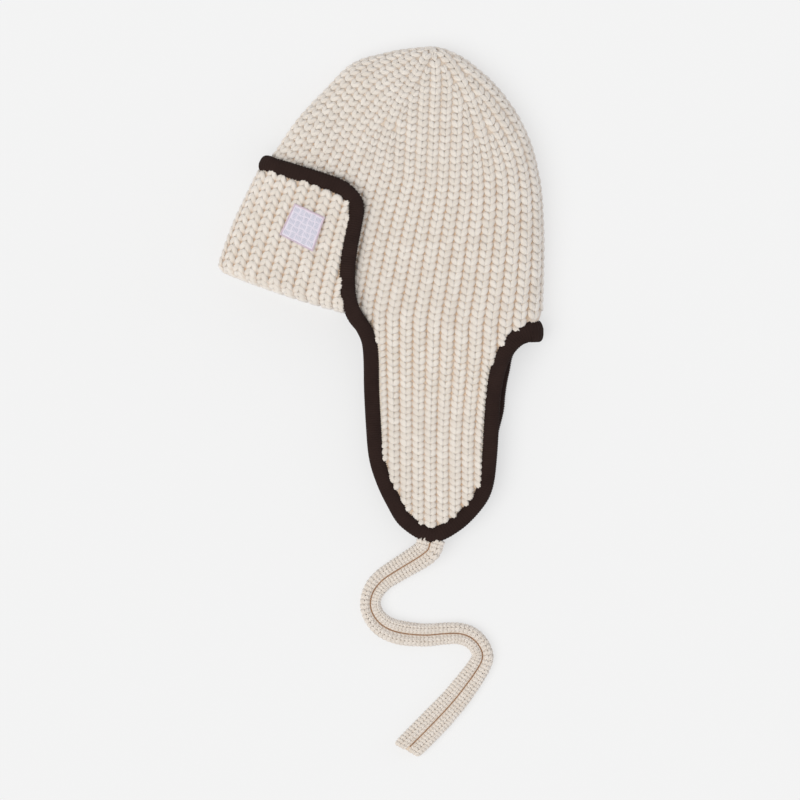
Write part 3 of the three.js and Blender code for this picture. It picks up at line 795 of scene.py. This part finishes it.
crown = stitch_grid(0, int((CROWN_HEIGHT - 1) / ROW) + 1, ROW)
flaps = stitch_grid(-int(FLAP_REACH / FLAP_ROW), 0, FLAP_ROW)
for name, grid, row_height, near, rings, seed in (
    ("near_crown_knit", crown, ROW, True, 6, 1),
    ("near_flap_knit", flaps, FLAP_ROW, True, 6, 2),
    ("far_crown_knit", crown, ROW, False, 5, 3),
    ("far_flap_knit", flaps, FLAP_ROW, False, 5, 4),
):
    legs = stitch_legs(outer_face, pick(grid, is_near(grid) == near), row_height)
    bound = 1 if grid is flaps else at_nape(legs["middle"][:, 0] / MM)
    legs = beside(near_line if near else far_line, legs, EDGE_COVER * bound)
    fit(knit_legs(name, legs, KNIT_WOOL, Sides=8, Rings=rings, Seed=seed), "knit", "knit_body")

# %% [markdown]
# Behind the stitches the yarn passes from one to the next and closes the fabric. A closed wall stands for
# that yarn, seen only between the legs and at the bottom of the valleys. It could be cut from a whole shell,
# but that leaves ragged triangles. Instead its columns start at the cut edge, inside the binding. Where that
# edge runs nearly along the wales, more columns stand side by side, or the wall's edge would cut corners and
# show beside the binding.

# %% Where the wall's columns start
WALL_OUTER = 1.25  # depth of the wall's outer face under the knit's face in the middle of a wale
WALL_VALLEY = 2.15  # and between two wales
WALL_INNER = 3.7  # depth of its inner face
WALL_COLUMNS = 4  # per wale
STEEP_COLUMNS = 16  # per wale, where the cut edge runs nearly along the wales
STEEP_STEP = 1.5  # change of the cut, from one such column to the next, that calls for them
WALL_ROWS = 60
CROWDING = 0.9  # power that brings the rows a little closer towards the crown's tip
TIP_LEFT = 3  # the wall ends this far below the tip
TAPERING = (0.96, 1.04)  # finest pitch over the average one, where the wales begin to taper away
CUT_INSIDE = -0.5  # the wall ends this far past the binding's middle line
CUT_DEPTH = 3.2  # and sinks to this depth inside the binding
CUT_SINKS = 3  # distance inside that line up to which it does
RIM_UP = 0.8  # where no edge is cut, the wall ends this far above the lowest course
LOWEST_UP = -175  # lower than any flap
FLAP_STEPS = 350  # courses that are tried on the way down


def cut_edge(surface, wales, near, ups, missed, side=1):
    """The first of the courses at which each wale, followed along them, has come to the cut edge."""
    line = near_line if near else far_line
    found = np.full(len(wales), float(missed))
    for k, wale in enumerate(wales):
        past = side * left_of(line, surface(wale, ups, WALL_OUTER)[:, :2]) < CUT_INSIDE
        if past.any():
            found[k] = ups[past.argmax()]
    return found


def outer_face_down(wale, up, sink):
    """Led straight down from the rim, past the wales that draw together on a flap."""
    return outer_face(loosened(wale, up), up, sink)


wall_wales = np.arange(WALES * STEEP_COLUMNS) / STEEP_COLUMNS
wall_near = wall_wales < HALF_WALES
downwards = np.linspace(0, LOWEST_UP, FLAP_STEPS)
cut = np.concatenate([
    cut_edge(outer_face_down, wall_wales[wall_near], True, downwards, LOWEST_UP),
    cut_edge(outer_face_down, wall_wales[~wall_near], False, downwards, LOWEST_UP),
])
cut[cut > downwards[1]] = RIM_UP
change = np.abs(np.diff(cut, append=cut[0]))
kept = np.maximum(change, np.roll(change, 1)) > STEEP_STEP
kept[::STEEP_COLUMNS // WALL_COLUMNS] = True
wall_wales, wall_near, cut = wall_wales[kept], wall_near[kept], cut[kept]
print(len(cut), "columns, the longest goes down", cut.min().round(1), "mm below the rim")

# %% [markdown]
# The wall has two faces of one grid, joined by a strip along the cut edge and capped under the crown's tip.
# Its outer face rises and falls with the wales, as far up as they keep their places, and each place keeps
# how deep in a valley it lies, for the wool's painted valley shade.

# %% The wall behind the stitches
def two_layers(name, outer, inner, rim, material, hoop=False):
    """A closed wall from its outer and inner grid of places and the faces that join them."""
    rows, columns = outer.shape[:2]
    layer = rows * columns
    faces = []
    for r in range(rows - 1):
        for c in range(columns if hoop else columns - 1):
            n = (c + 1) % columns
            a, b, d, e = r * columns + c, r * columns + n, (r + 1) * columns + n, (r + 1) * columns + c
            faces += [(a, b, d, e), (layer + a, layer + e, layer + d, layer + b)]
    points = np.concatenate([outer.reshape(-1, 3), inner.reshape(-1, 3)])
    return outward(plain_mesh(name, points * MM, faces + rim, material))


def closed_shell(name, outer, inner, material):
    """A closed wall whose columns go once round, with a cap on the last row of each layer."""
    rows, columns = outer.shape[:2]
    layer, last = rows * columns, (rows - 1) * columns
    rim = [(c, layer + c, layer + (c + 1) % columns, (c + 1) % columns) for c in range(columns)]
    caps = [tuple(range(last, layer)), tuple(reversed(range(layer + last, 2 * layer)))]
    return two_layers(name, outer, inner, rim + caps, material, hoop=True)


share = np.linspace(0, 1, WALL_ROWS)[:, None] ** CROWDING
wall_ups = cut[None] + (CROWN_HEIGHT - TIP_LEFT - cut[None]) * share
wale_grid = loosened(np.broadcast_to(wall_wales, wall_ups.shape), wall_ups)


def valley_share(wale, up):
    """Zero in the middle of a wale and one between two, a half where the wales taper away."""
    in_place = 1 - ease(FINEST_PITCH / pitch_at(wale, up), *TAPERING)
    return mix(0.5, 1 - np.abs(2 * np.mod(wale, 1) - 1), in_place)


def store_valley(piece, valley):
    """Keeps each place's share on a wall of two layers."""
    attribute = piece.data.attributes.new("valley", "FLOAT", "POINT")
    attribute.data.foreach_set("value", np.tile(valley.ravel(), 2).astype(np.float32))
    return piece


valley = valley_share(wale_grid, wall_ups)
depth = mix(WALL_OUTER, WALL_VALLEY, valley)
plan = outer_face(wale_grid, wall_ups, depth)[..., :2].reshape(-1, 2)
gaps = [left_of(line, plan).reshape(depth.shape) for line in (near_line, far_line)]
depth = mix(CUT_DEPTH, depth, ease(np.where(wall_near, *gaps), CUT_SINKS, EDGE_COVER))
crown_wall = closed_shell("crown_wall", outer_face(wale_grid, wall_ups, depth),
                          knit_point(turn_of(wale_grid, wall_ups), wall_ups, -WALL_INNER), WALL_WOOL)
fit(store_valley(crown_wall, valley), "knit", "knit_body")
print("crown wall", len(crown_wall.data.polygons), "faces")

# %% [markdown]
# The inside shows between the flaps and through the head opening. Rib knit looks alike on both faces, so the
# same stitches lie there. Their legs have fewer faces, because they are only seen in the shade.

# %% Stitches inside the hat
for name, grid, row_height, near in (
    ("crown_inside_knit", pick(crown, crown[1] > ROW / 2), ROW, None),
    ("near_flap_inside_knit", flaps, FLAP_ROW, True),
    ("far_flap_inside_knit", flaps, FLAP_ROW, False),
):
    mine = grid if near is None else pick(grid, is_near(grid) == near)
    legs = stitch_legs(inner_face, mine, row_height, inner=True)
    if near is not None:
        legs = beside(near_line if near else far_line, legs, EDGE_COVER)
    fit(knit_legs(name, legs, KNIT_WOOL, Sides=6, Rings=4, Seed=5), "knit", "knit_body")

# %% [markdown]
# The brim is the front rim turned up. Its face is the knit's other side, so its stitches point down. It could
# be knitted flat and bent up, but its folded form is known. So a place on it is a wale and a distance from
# the fold's edge: up its outer face, or, below zero, round the fold towards the inside of the hat.

# %% The brim's knit
BRIM_OUTER = BRIM_STAND + WALL
FOLD_MIDDLE = (BRIM_OUTER - WALL) / 2  # distance out from the crown's face to the fold's middle
FOLD_RADIUS = (BRIM_OUTER + WALL) / 2
BRIM_ROW = 4.55
BRIM_ROWS = (-4, 24)  # from inside the fold to above the binding
FIRST_ROW_AT = 1  # where the row next to the fold's edge lies
BRIM_STRAND = 2.8
FOLD_REACH = -16  # how far the brim's stitches go round the fold
BRIM_WALES = 18  # on each side of the front fold
PINCH = 3.2  # how much flatter the front fold is pressed at the brim's bound edge
PINCH_UP = (12, 60)  # courses over which it grows to that
PINCH_TURN = 0.06  # and how far round the hat it reaches


def pinch(turn, up):
    """How much flatter the brim is pressed at this place."""
    from_fold = 0.5 - np.abs(np.mod(turn, 1) - 0.5)
    return PINCH * ease(up, *PINCH_UP) * np.exp(-(from_fold / PINCH_TURN) ** 2)


def brim_face(wale, reach, sink):
    """Places under the brim's face, by wale, distance from the fold's edge and depth."""
    wale, reach = floats(wale, reach)
    angle = np.clip(-reach / FOLD_RADIUS, 0, np.pi)
    radius = FOLD_RADIUS - sink
    up = np.where(reach > 0, reach, -radius * np.sin(angle))
    out = np.where(reach > 0, BRIM_OUTER - sink, FOLD_MIDDLE + radius * np.cos(angle))
    turn = turn_of(wale, up)
    return knit_point(turn, up, out - pinch(turn, up))


def brim_grid(near):
    """The brim's stitches on one side of the front fold."""
    wales = np.arange(BRIM_WALES) + (0 if near else -BRIM_WALES)
    wale, row = np.meshgrid(wales, np.arange(*BRIM_ROWS), indexing="ij")
    wale, up = wale.ravel().astype(float), row.ravel() * BRIM_ROW + FIRST_ROW_AT
    grid = (wale, up, pitch_at(wale, 0) * width_share(from_front(wale)), np.ones(len(wale)))
    return pick(grid, up > FOLD_REACH)


for near in (True, False):
    legs = stitch_legs(brim_face, brim_grid(near), BRIM_ROW, flip=True, strand=BRIM_STRAND)
    legs = beside(near_line if near else far_line, legs, EDGE_COVER, side=-1)
    made = knit_legs("near_brim_knit" if near else "far_brim_knit", legs, KNIT_WOOL, Sides=8, Rings=6, Seed=6)
    fit(made, "knit", "front_brim")

# %% [markdown]
# A closed wall stands behind the brim's stitches too. Each of its columns starts at the binding and follows
# the knit down and round the fold.

# %% The wall behind the brim's stitches
BRIM_WALL_INNER = 4.6  # depth of its inner face
BRIM_WALL_ROWS = 44
BRIM_HEIGHT = 110  # more than its longest column
BRIM_STEPS = 700  # places that are tried on the way up
SHORTEST_COLUMN = 8  # shorter ones are left out


def closed_patch(name, outer, inner, material):
    """A closed plate with a rim round all four sides."""
    rows, columns = outer.shape[:2]
    layer = rows * columns
    edge = [
        *range(columns), *range(2 * columns - 1, layer, columns),
        *range(layer - 2, layer - columns - 1, -1), *range(layer - 2 * columns, 0, -columns),
    ]
    rim = [(b, a, layer + a, layer + b) for a, b in zip(edge, edge[1:] + edge[:1])]
    return two_layers(name, outer, inner, rim, material)


wales = np.arange(-BRIM_WALES * WALL_COLUMNS, BRIM_WALES * WALL_COLUMNS + 1) / WALL_COLUMNS
reaches = np.linspace(FOLD_REACH, BRIM_HEIGHT, BRIM_STEPS)
tops = np.concatenate([
    cut_edge(brim_face, wales[wales < 0], False, reaches, FOLD_REACH, side=-1),
    cut_edge(brim_face, wales[wales >= 0], True, reaches, FOLD_REACH, side=-1),
])
used = tops > FOLD_REACH + SHORTEST_COLUMN
middle = len(wales) // 2
first = middle - (~used[:middle][::-1]).argmax()
last = middle + (~used[middle:]).argmax()
wales, tops = wales[first:last], tops[first:last]
share = np.linspace(0, 1, BRIM_WALL_ROWS)[:, None]
reach = FOLD_REACH + (tops[None] - FOLD_REACH) * share
wale_grid = np.broadcast_to(wales, reach.shape)
valley = 1 - np.abs(2 * np.mod(wale_grid, 1) - 1)
outer = brim_face(wale_grid, reach, mix(WALL_OUTER, WALL_VALLEY, valley))
brim_wall = closed_patch("brim_wall", outer, brim_face(wale_grid, reach, BRIM_WALL_INNER), WALL_WOOL)
fit(store_valley(brim_wall, valley), "knit", "front_brim")
print("the brim's wall spans", len(wales) / WALL_COLUMNS, "wales")

# %% [markdown]
# One dark strip is knitted on round the whole cut edge and folded over it. Its middle line follows both
# sides of the hat and turns round the folds at the front and at the nape. The line is known from above, as
# in a photograph, so each of its points is looked up on the knit by halving the span of courses.

# %% The binding's way round the hat
BRIM_MIDDLE = BRIM_STAND + WALL / 2
BINDING_STEP = 0.45  # from one ring of the tube to the next
BINDING_RIB = 1.8  # from one fine rib of the binding to the next
FOLD_STEPS = 16  # stations of its line round a fold
HIGHEST_UP = 170  # higher than any place that is looked up
HALVINGS = 40


def locate(places, out, near):
    """The turn and course whose place, seen from above and out from the knit's face, is the given one."""
    low, high = np.full(len(places), float(LOWEST_UP)), np.full(len(places), float(HIGHEST_UP))
    for _ in range(HALVINGS):
        up = (low + high) / 2
        front, control, back = course_plan(up, out)
        bend = front[:, 0] - 2 * control[:, 0] + back[:, 0]
        slope = 2 * (control[:, 0] - front[:, 0])
        start = front[:, 0] - places[:, 0]
        share = -2 * start / (slope + np.sqrt(np.maximum(slope**2 - 4 * bend * start, 0)))
        share = np.clip(share, 0, 1)
        y = (1 - share) ** 2 * front[:, 1] + 2 * share * (1 - share) * control[:, 1] + share**2 * back[:, 1]
        below = y + np.minimum(up, 0) < places[:, 1]
        low, high = np.where(below, up, low), np.where(below, high, up)
    turn = np.arccos(1 - 2 * share) / (2 * np.pi)
    return (turn if near else 1 - turn), up


def side_stations(line, near):
    """Turn, course, distance out and share on the brim along one side's line, fold to fold."""
    on_brim = np.where(line[:, 0] > BEHIND_TIP, 0, 1 - ease(-line[:, 1], -NOTCH_TOP, -NOTCH_BOTTOM))
    out = mix(-WALL / 2, BRIM_MIDDLE, on_brim)
    turn, up = locate(line, out, near)
    stations = np.stack([turn, up, out, on_brim], axis=1)
    t = np.arange(1, FOLD_STEPS)[:, None] / FOLD_STEPS

    def round_fold(end, turn_there, up_there):
        turns, ups = mix(end[0], turn_there, t), mix(end[1], up_there, ease(t, 0, 1))
        return np.hstack([turns, ups, np.full_like(t, end[2]), np.full_like(t, end[3])])

    front = round_fold(stations[0], 0 if near else 1, BRIM_FRONT_UP)[::-1]
    back = round_fold(stations[-1], 0.5, NAPE_UP)
    return np.vstack([front, stations, back])


binding = np.vstack([
    [[0, BRIM_FRONT_UP, BRIM_MIDDLE, 1]], side_stations(near_line, True),
    [[0.5, NAPE_UP, -WALL / 2, 0]], side_stations(far_line, False)[::-1],
    [[1, BRIM_FRONT_UP, BRIM_MIDDLE, 1]],
])
middles = knit_point(*binding[:, :3].T)
_, binding_length = even_line(middles, 10)
binding_ribs = round(binding_length / BINDING_RIB)
steps = round(binding_length / BINDING_STEP)
binding, _ = even_line(np.hstack([middles, binding]), steps + 1)
turn, up, out, on_brim = binding[:-1, 3:].T
out = out - pinch(turn, up) * on_brim
middles = knit_point(turn, up, out)
along = np.roll(middles, -3, axis=0) - np.roll(middles, 3, axis=0)
along /= np.linalg.norm(along, axis=1, keepdims=True)
face = knit_face(turn, up, out)
face -= along * (face * along).sum(axis=1, keepdims=True)
face /= np.linalg.norm(face, axis=1, keepdims=True)
across = np.cross(face, along)  # towards the crown
inward = mix(1, -1, on_brim)
print("the binding is", round(binding_length), "mm long with", binding_ribs, "fine ribs")

# %% [markdown]
# The strip is a closed tube along that line, flattened, thick at the outer fold and thinning towards the
# knit, where the tops of the wales show over it as small scallops. Fine ribs run across it. A bevelled curve
# could carry it, but it would twist at the notches, and here the knit's own face keeps it level.

# %% Edge binding
BINDING_SIDES = 16
BINDING_FLATNESS = 2.6  # power of its section's rounding
BINDING_REACH = {"outward": 5.5, "inward": 6.3}
BINDING_THINNED = 0.22  # share of its thickness that it loses towards the knit
BINDING_RIB_DEPTH = 0.5


def tube(name, middles, across, above, section, material, hoop=False):
    """A closed tube. Section gives, for each ring, its points' distances across and above the middle line."""
    points = middles[:, None] + section[..., :1] * across[:, None] + section[..., 1:] * above[:, None]
    rings, count = points.shape[:2]
    faces = []
    for r in range(rings if hoop else rings - 1):
        n = (r + 1) % rings
        for c in range(count):
            d = (c + 1) % count
            faces.append((r * count + c, n * count + c, n * count + d, r * count + d))
    if not hoop:
        faces += [tuple(range(count)), tuple(reversed(range((rings - 1) * count, rings * count)))]
    return outward(plain_mesh(name, points.reshape(-1, 3), faces, material))


angle = 2 * np.pi * (np.arange(BINDING_SIDES) + 0.5) / BINDING_SIDES
round_off = 2 / BINDING_FLATNESS
wide = np.sign(np.cos(angle)) * np.abs(np.cos(angle)) ** round_off
high = np.sign(np.sin(angle)) * np.abs(np.sin(angle)) ** round_off
knit_side = np.clip(wide[None] * inward[:, None], 0, 1)
reach = mix(BINDING_REACH["outward"], BINDING_REACH["inward"], np.clip(np.sign(wide) * inward[:, None], 0, 1))
height = BINDING_HALF * (1 - BINDING_THINNED * ease(knit_side, 0.2, 1))
wave = 0.5 - 0.5 * np.cos(2 * np.pi * binding_ribs * np.arange(steps) / steps)
rib = (1 - BINDING_RIB_DEPTH / BINDING_HALF * wave)[:, None]
section = np.stack([wide * reach * rib * nape_flare(middles[:, :1]), high * height * rib], axis=-1)
made = tube("edge_binding_strip", middles * MM, across, face, section * MM, BINDING_WOOL, hoop=True)
fit(made, "binding", "edge_binding")
print("binding", len(made.data.polygons) * 2, "triangles")

# %% [markdown]
# The patch is a small woven square sewn on the brim's face. It could be a flat box, but it bends with the
# brim, so its cloth is a thin plate whose corners are given from above and whose height comes from the knit.

# %% The patch's cloth
LABEL_CORNERS = np.array([[-60.2, 63.7], [-39.2, 53.9], [-47.6, 30.1], [-70.7, 42.0]])
LABEL_UNDER = BRIM_OUTER + 0.2  # distance out of its lower face
LABEL_FACE = LABEL_UNDER + 0.7
LABEL_SIZE = 24.0
LABEL_CELLS = 16


def thread(name, pale, deep):
    """Fine embroidery thread, smoother than the wool."""
    material = wool(name, pale, deep, twist=0.6, sheen=0.2)
    material.node_tree.nodes["Principled BSDF"].inputs["Roughness"].default_value = 0.55
    return material


def on_label(across, down, out):
    """Places on the patch from shares of its width and height."""
    across, down = floats(across, down)
    a, d = across.ravel()[:, None], down.ravel()[:, None]
    top = mix(LABEL_CORNERS[0], LABEL_CORNERS[1], a)
    bottom = mix(LABEL_CORNERS[3], LABEL_CORNERS[2], a)
    turn, up = locate(mix(top, bottom, d), np.full(len(a), float(out)), True)
    return knit_point(turn, up, float(out)).reshape(*across.shape, 3)


cells = np.linspace(0, 1, LABEL_CELLS + 1)
across_grid, down_grid = np.meshgrid(cells, cells)
LABEL_CLOTH = thread("lilac_cloth", colour(240, 234, 242), colour(230, 222, 234))
made = closed_patch("label_cloth", on_label(across_grid, down_grid, LABEL_FACE),
                    on_label(across_grid, down_grid, LABEL_UNDER), LABEL_CLOTH)
fit(made, "label", "label_patch")
print("the patch is", LABEL_SIZE, "mm wide")

# %% [markdown]
# The patch's border is overlocked with thread, and its field has a plain basket pattern of short satin bars.
# A woven pattern could be painted on, but thread this close to the eye has height. The bars and the border
# use the same tree as the yarn, with thinner legs.

# %% The patch's thread
BORDER = 1.1  # width of the overlocked edge
BORDER_STITCHES = 50  # on each side
BORDER_OVER = 0.01  # share of the patch's side that they reach past it
BORDER_THREAD_SIZE = (0.56, 0.9)  # width and height of a stitch
FIELD_INSET = 2.6  # borders' widths that the field leaves free, both sides together
BLOCKS = 5  # of the basket pattern, each way
BARS = 4  # in a block
BAR_ENDS = (0.06, 0.94)  # shares of a block
BAR_THREAD_SIZE = (0.72, 0.7)
BAR_THREAD = thread("grey_blue_thread", colour(214, 214, 226), colour(190, 192, 208))
BORDER_THREAD = thread("pink_lilac_thread", colour(236, 218, 228), colour(222, 202, 216))


def satin(name, starts, ends, width, height, material):
    """Short raised bars of thread on the patch, from start to end in shares of its sides."""
    starts, ends = np.array(starts), np.array(ends)
    a, b = on_label(*starts.T, LABEL_FACE), on_label(*ends.T, LABEL_FACE)
    turn, up = locate(((a + b) / 2)[:, :2], np.full(len(a), LABEL_FACE), True)
    along = b - a
    length = np.linalg.norm(along, axis=1)
    size = np.stack([np.full_like(length, height), np.full_like(length, width), length], axis=1) / 2
    face = knit_face(turn, up, LABEL_FACE)
    legs = {"middle": (a + b) / 2 * MM, "along": along, "face": face, "size": size * MM}
    made = knit_legs(name, legs, material, Sides=8, Rings=5, Bow=0.0, Uneven=0.04, Seed=9)
    return fit(made, "label", "label_patch")


bars = []
block = (1 - FIELD_INSET * BORDER / LABEL_SIZE) / BLOCKS
for row in range(BLOCKS):
    for column in range(BLOCKS):
        for bar in range(BARS):
            beside_it = (bar + 0.5) / BARS
            ends = [(end, beside_it) for end in BAR_ENDS]
            if (row + column) % 2 == 0:
                ends = [(down, across) for across, down in ends]
            corner = np.array([0.5 + (k - BLOCKS / 2) * block for k in (column, row)])
            bars.append([corner + block * np.array(end) for end in ends])
satin("label_bars", *zip(*bars), *BAR_THREAD_SIZE, BAR_THREAD)

stitches = []
edge = BORDER / LABEL_SIZE
for k in np.linspace(BORDER_OVER, 1 - BORDER_OVER, BORDER_STITCHES):
    for outer_end, inner_end in ((-BORDER_OVER, edge), (1 + BORDER_OVER, 1 - edge)):
        stitches += [((k, outer_end), (k, inner_end)), ((outer_end, k), (inner_end, k))]
satin("label_border", *zip(*stitches), *BORDER_THREAD_SIZE, BORDER_THREAD)

# %% [markdown]
# The tie is knitted as a narrow flat strip whose edges curl in until they meet. So it shows two rolls of
# small stitches. It is squeezed narrow where it bends and opens out towards its blunt end. A cord could be
# one bevelled curve, but the rolls need their own columns of stitches, so each stitch is placed along the
# route and round its roll.

# %% The tie's stitches
TIE_WIDTHS = [  # share of the way along, width
    (0, 20), (0.1, 17.5), (0.26, 14.6), (0.39, 17.4), (0.51, 15.6), (0.64, 15),
    (0.76, 18.4), (0.88, 20.4), (1, 20.2),
]
TIE_ROW = 2.7
TIE_STRAND = 1.7
TIE_COLUMNS = 5  # columns of stitches round each roll
RIGHT_ROLL = 10  # number of the right roll's first column
TIE_COLUMN_TURN = 50  # degrees from one column to the next
FIRST_ROW_SHARE = 0.6  # rows from the tie's root to the middle of its first stitches
TIE_END = 7  # length over which its free end rounds off
TIE_SLANT = 0.3  # slope of the free end, whose left roll is the longer one
SLANT_LENGTH = 40  # over which the rows turn to it
tie_reach = np.linspace(0, tie_length / MM, len(tie_line))
tie_along = np.gradient(tie_line, axis=0)
tie_along /= np.linalg.norm(tie_along, axis=1, keepdims=True)
tie_across = np.stack([tie_along[:, 1], -tie_along[:, 0], np.zeros(len(tie_line))], axis=1)
tie_across /= np.linalg.norm(tie_across, axis=1, keepdims=True)
tie_above = np.cross(tie_across, tie_along)
tie_above *= np.sign(tie_above[:, 2:])
tie_across += tie_along * TIE_SLANT * ease(tie_reach, tie_reach[-1] - SLANT_LENGTH, tie_reach[-1])[:, None]


def along_tie(columns, reach):
    """What the columns say at these distances along the tie."""
    return np.stack([np.interp(reach, tie_reach, columns[:, k]) for k in range(columns.shape[1])], axis=-1)


def tie_half(reach):
    """Half of the tie's width, half of its thickness, and how far it is closed at its ends."""
    shares, widths = np.array(TIE_WIDTHS).T
    width = np.interp(reach, shares * tie_reach[-1], widths)
    from_end = np.clip((tie_reach[-1] - reach) / TIE_END, 0, 1)
    return width / 2, TIE_THICKNESS / MM / 2, 0.5 + 0.5 * np.sqrt(1 - (1 - from_end) ** 2)


def tie_face(column, reach, sink):
    """A place on a roll. Columns from 0 go round the left roll, those from RIGHT_ROLL round the right."""
    column, reach = floats(column, reach)
    left = column < (TIE_COLUMNS + RIGHT_ROLL) / 2
    side = np.where(left, -1, 1)
    angle = np.radians(TIE_COLUMN_TURN * (0.5 + column - np.where(left, 0, RIGHT_ROLL)))
    wide, thick, closing = tie_half(reach)
    across = side * (wide / 2 - (wide / 2 * closing - sink) * np.cos(angle))
    above = (thick * closing - sink) * np.sin(angle)
    middle = along_tie(tie_line, reach) / MM
    sideways, upwards = along_tie(tie_across, reach), along_tie(tie_above, reach)
    return middle + across[..., None] * sideways + above[..., None] * upwards


tables = []
for first_column, inner in ((0, True), (RIGHT_ROLL, False)):
    columns = np.arange(first_column, first_column + TIE_COLUMNS)
    column, row = np.meshgrid(columns, np.arange(int(tie_reach[-1] / TIE_ROW)), indexing="ij")
    column, row = column.ravel().astype(float), row.ravel() * TIE_ROW + TIE_ROW * FIRST_ROW_SHARE
    pitch = tie_half(row)[0] / 2 * np.radians(TIE_COLUMN_TURN)
    grid = (column, row, pitch, np.ones(len(row)))
    tables.append(stitch_legs(tie_face, grid, TIE_ROW, inner=inner, strand=TIE_STRAND))
legs = {key: np.concatenate([table[key] for table in tables]) for key in tables[0]}
tie_knit = fit(knit_legs("tie_knit", legs, TIE_WOOL, Sides=6, Rings=5, Seed=12), "tie", "near_tie")

# %% [markdown]
# Between the rolls the groove lies in shade, so a thin round line of darker tan wool is laid in it as painted
# shade. A plain core fills the rolls, so that nobody looks through between two stitches. Its tan, darker than
# the yarn's, is painted shade for the gaps between stitches. The core is one smooth tube.

# %% The tie's core and the line of painted shade in its groove
TIE_CORE_DEPTH = 0.8  # how far the core's face lies under the stitches' face
CORE_SIDES = 24
CORE_DENT = 0.55  # share of the core's height that is missing between the rolls, for the line of painted shade
DENT_WIDTH = 0.24  # as a share of half its width
angle = 2 * np.pi * (np.arange(CORE_SIDES) + 0.5) / CORE_SIDES
wide, thick, closing = tie_half(tie_reach)
dent = np.where(np.sin(angle) > 0, 1 - CORE_DENT * np.exp(-(np.cos(angle) / DENT_WIDTH) ** 2), 1)
section = np.stack([
    (wide * (0.5 + 0.5 * closing) - TIE_CORE_DEPTH)[:, None] * np.cos(angle),
    (thick * closing - TIE_CORE_DEPTH)[:, None] * np.sin(angle) * dent,
], axis=-1)
inside = slice(0, -1)  # the rolls reach past the core's end
core = tube("tie_core", tie_line[inside], tie_across[inside], tie_above[inside], section[inside] * MM,
            CORE_SHADE_WOOL)
fit(core, "tie", "near_tie")

# painted shade: a thin dark tan line laid in the groove between the rolls, where shade falls
GROOVE_SHADE_WIDTH = 1.1
GROOVE_SHADE_SIDES = 8
GROOVE_SHADE_HEIGHT = 0.36  # over the middle line, as a share of half the tie's thickness
angle = 2 * np.pi * np.arange(GROOVE_SHADE_SIDES) / GROOVE_SHADE_SIDES
circle = np.stack([np.cos(angle), np.sin(angle)], axis=-1) * GROOVE_SHADE_WIDTH / 2
section = np.broadcast_to(circle, (len(tie_line), GROOVE_SHADE_SIDES, 2))
lifted = tie_line + tie_above * thick * GROOVE_SHADE_HEIGHT * MM
shown = slice(2, -3)
seam_and_shade_line = tube("tie_groove_shade", lifted[shown], tie_across[shown], tie_above[shown], section[shown] * MM, GROOVE_SHADE_WOOL)
fit(seam_and_shade_line, "tie", "near_tie")

print("tie", round(tie_length, 3), "m long")

# %% [markdown]
# The floor is plain and pale. The sky is nearly white and gives most of the light, and one wide soft sun
# stands over the upper left, so the hat is modelled gently. A faint cool light grazes its right edge. The
# floor glows a little, as a lit table does, which leaves almost no shadow round the hat.

# %% Floor and light
FLOOR_HALF = 3  # metres
FLOOR_LEVEL = -0.0004
corners = [(x * FLOOR_HALF, y * FLOOR_HALF, FLOOR_LEVEL) for x, y in ((-1, -1), (1, -1), (1, 1), (-1, 1))]
floor = plain_mesh("floor", corners, [(0, 1, 2, 3)])
paper = bpy.data.materials.new("paper")
paper.use_nodes = True
for socket, value in {
    "Base Color": (0.3, 0.3, 0.3, 1), "Roughness": 1.0, "Specular IOR Level": 0.0,
    "Emission Color": (1, 1, 1, 1), "Emission Strength": 0.59,
}.items():
    paper.node_tree.nodes["Principled BSDF"].inputs[socket].default_value = value
floor.data.materials.append(paper)

world = bpy.data.worlds.new("studio")
world.use_nodes = True
world.node_tree.nodes["Background"].inputs["Color"].default_value = (0.98, 0.99, 1, 1)
world.node_tree.nodes["Background"].inputs["Strength"].default_value = 0.62
bpy.context.scene.world = world


def shine(name, energy, spread, tint, place):
    """A distant lamp over that place, which shines on the hat with a spread in degrees."""
    data = bpy.data.lights.new(name, "SUN")
    data.energy = energy
    data.angle = np.radians(spread)
    data.color = tint
    lamp = bpy.data.objects.new(name, data)
    bpy.context.collection.objects.link(lamp)
    lamp.matrix_world = Vector(place).to_track_quat("Z", "Y").to_matrix().to_4x4()


shine("soft_sun", 1.5, 50, (1, 0.985, 0.96), (-0.75, -0.4, 1.3))
shine("cool_rim", 0.45, 30, (0.84, 0.88, 1), (1, 0.25, 0.22))
print("lights set")
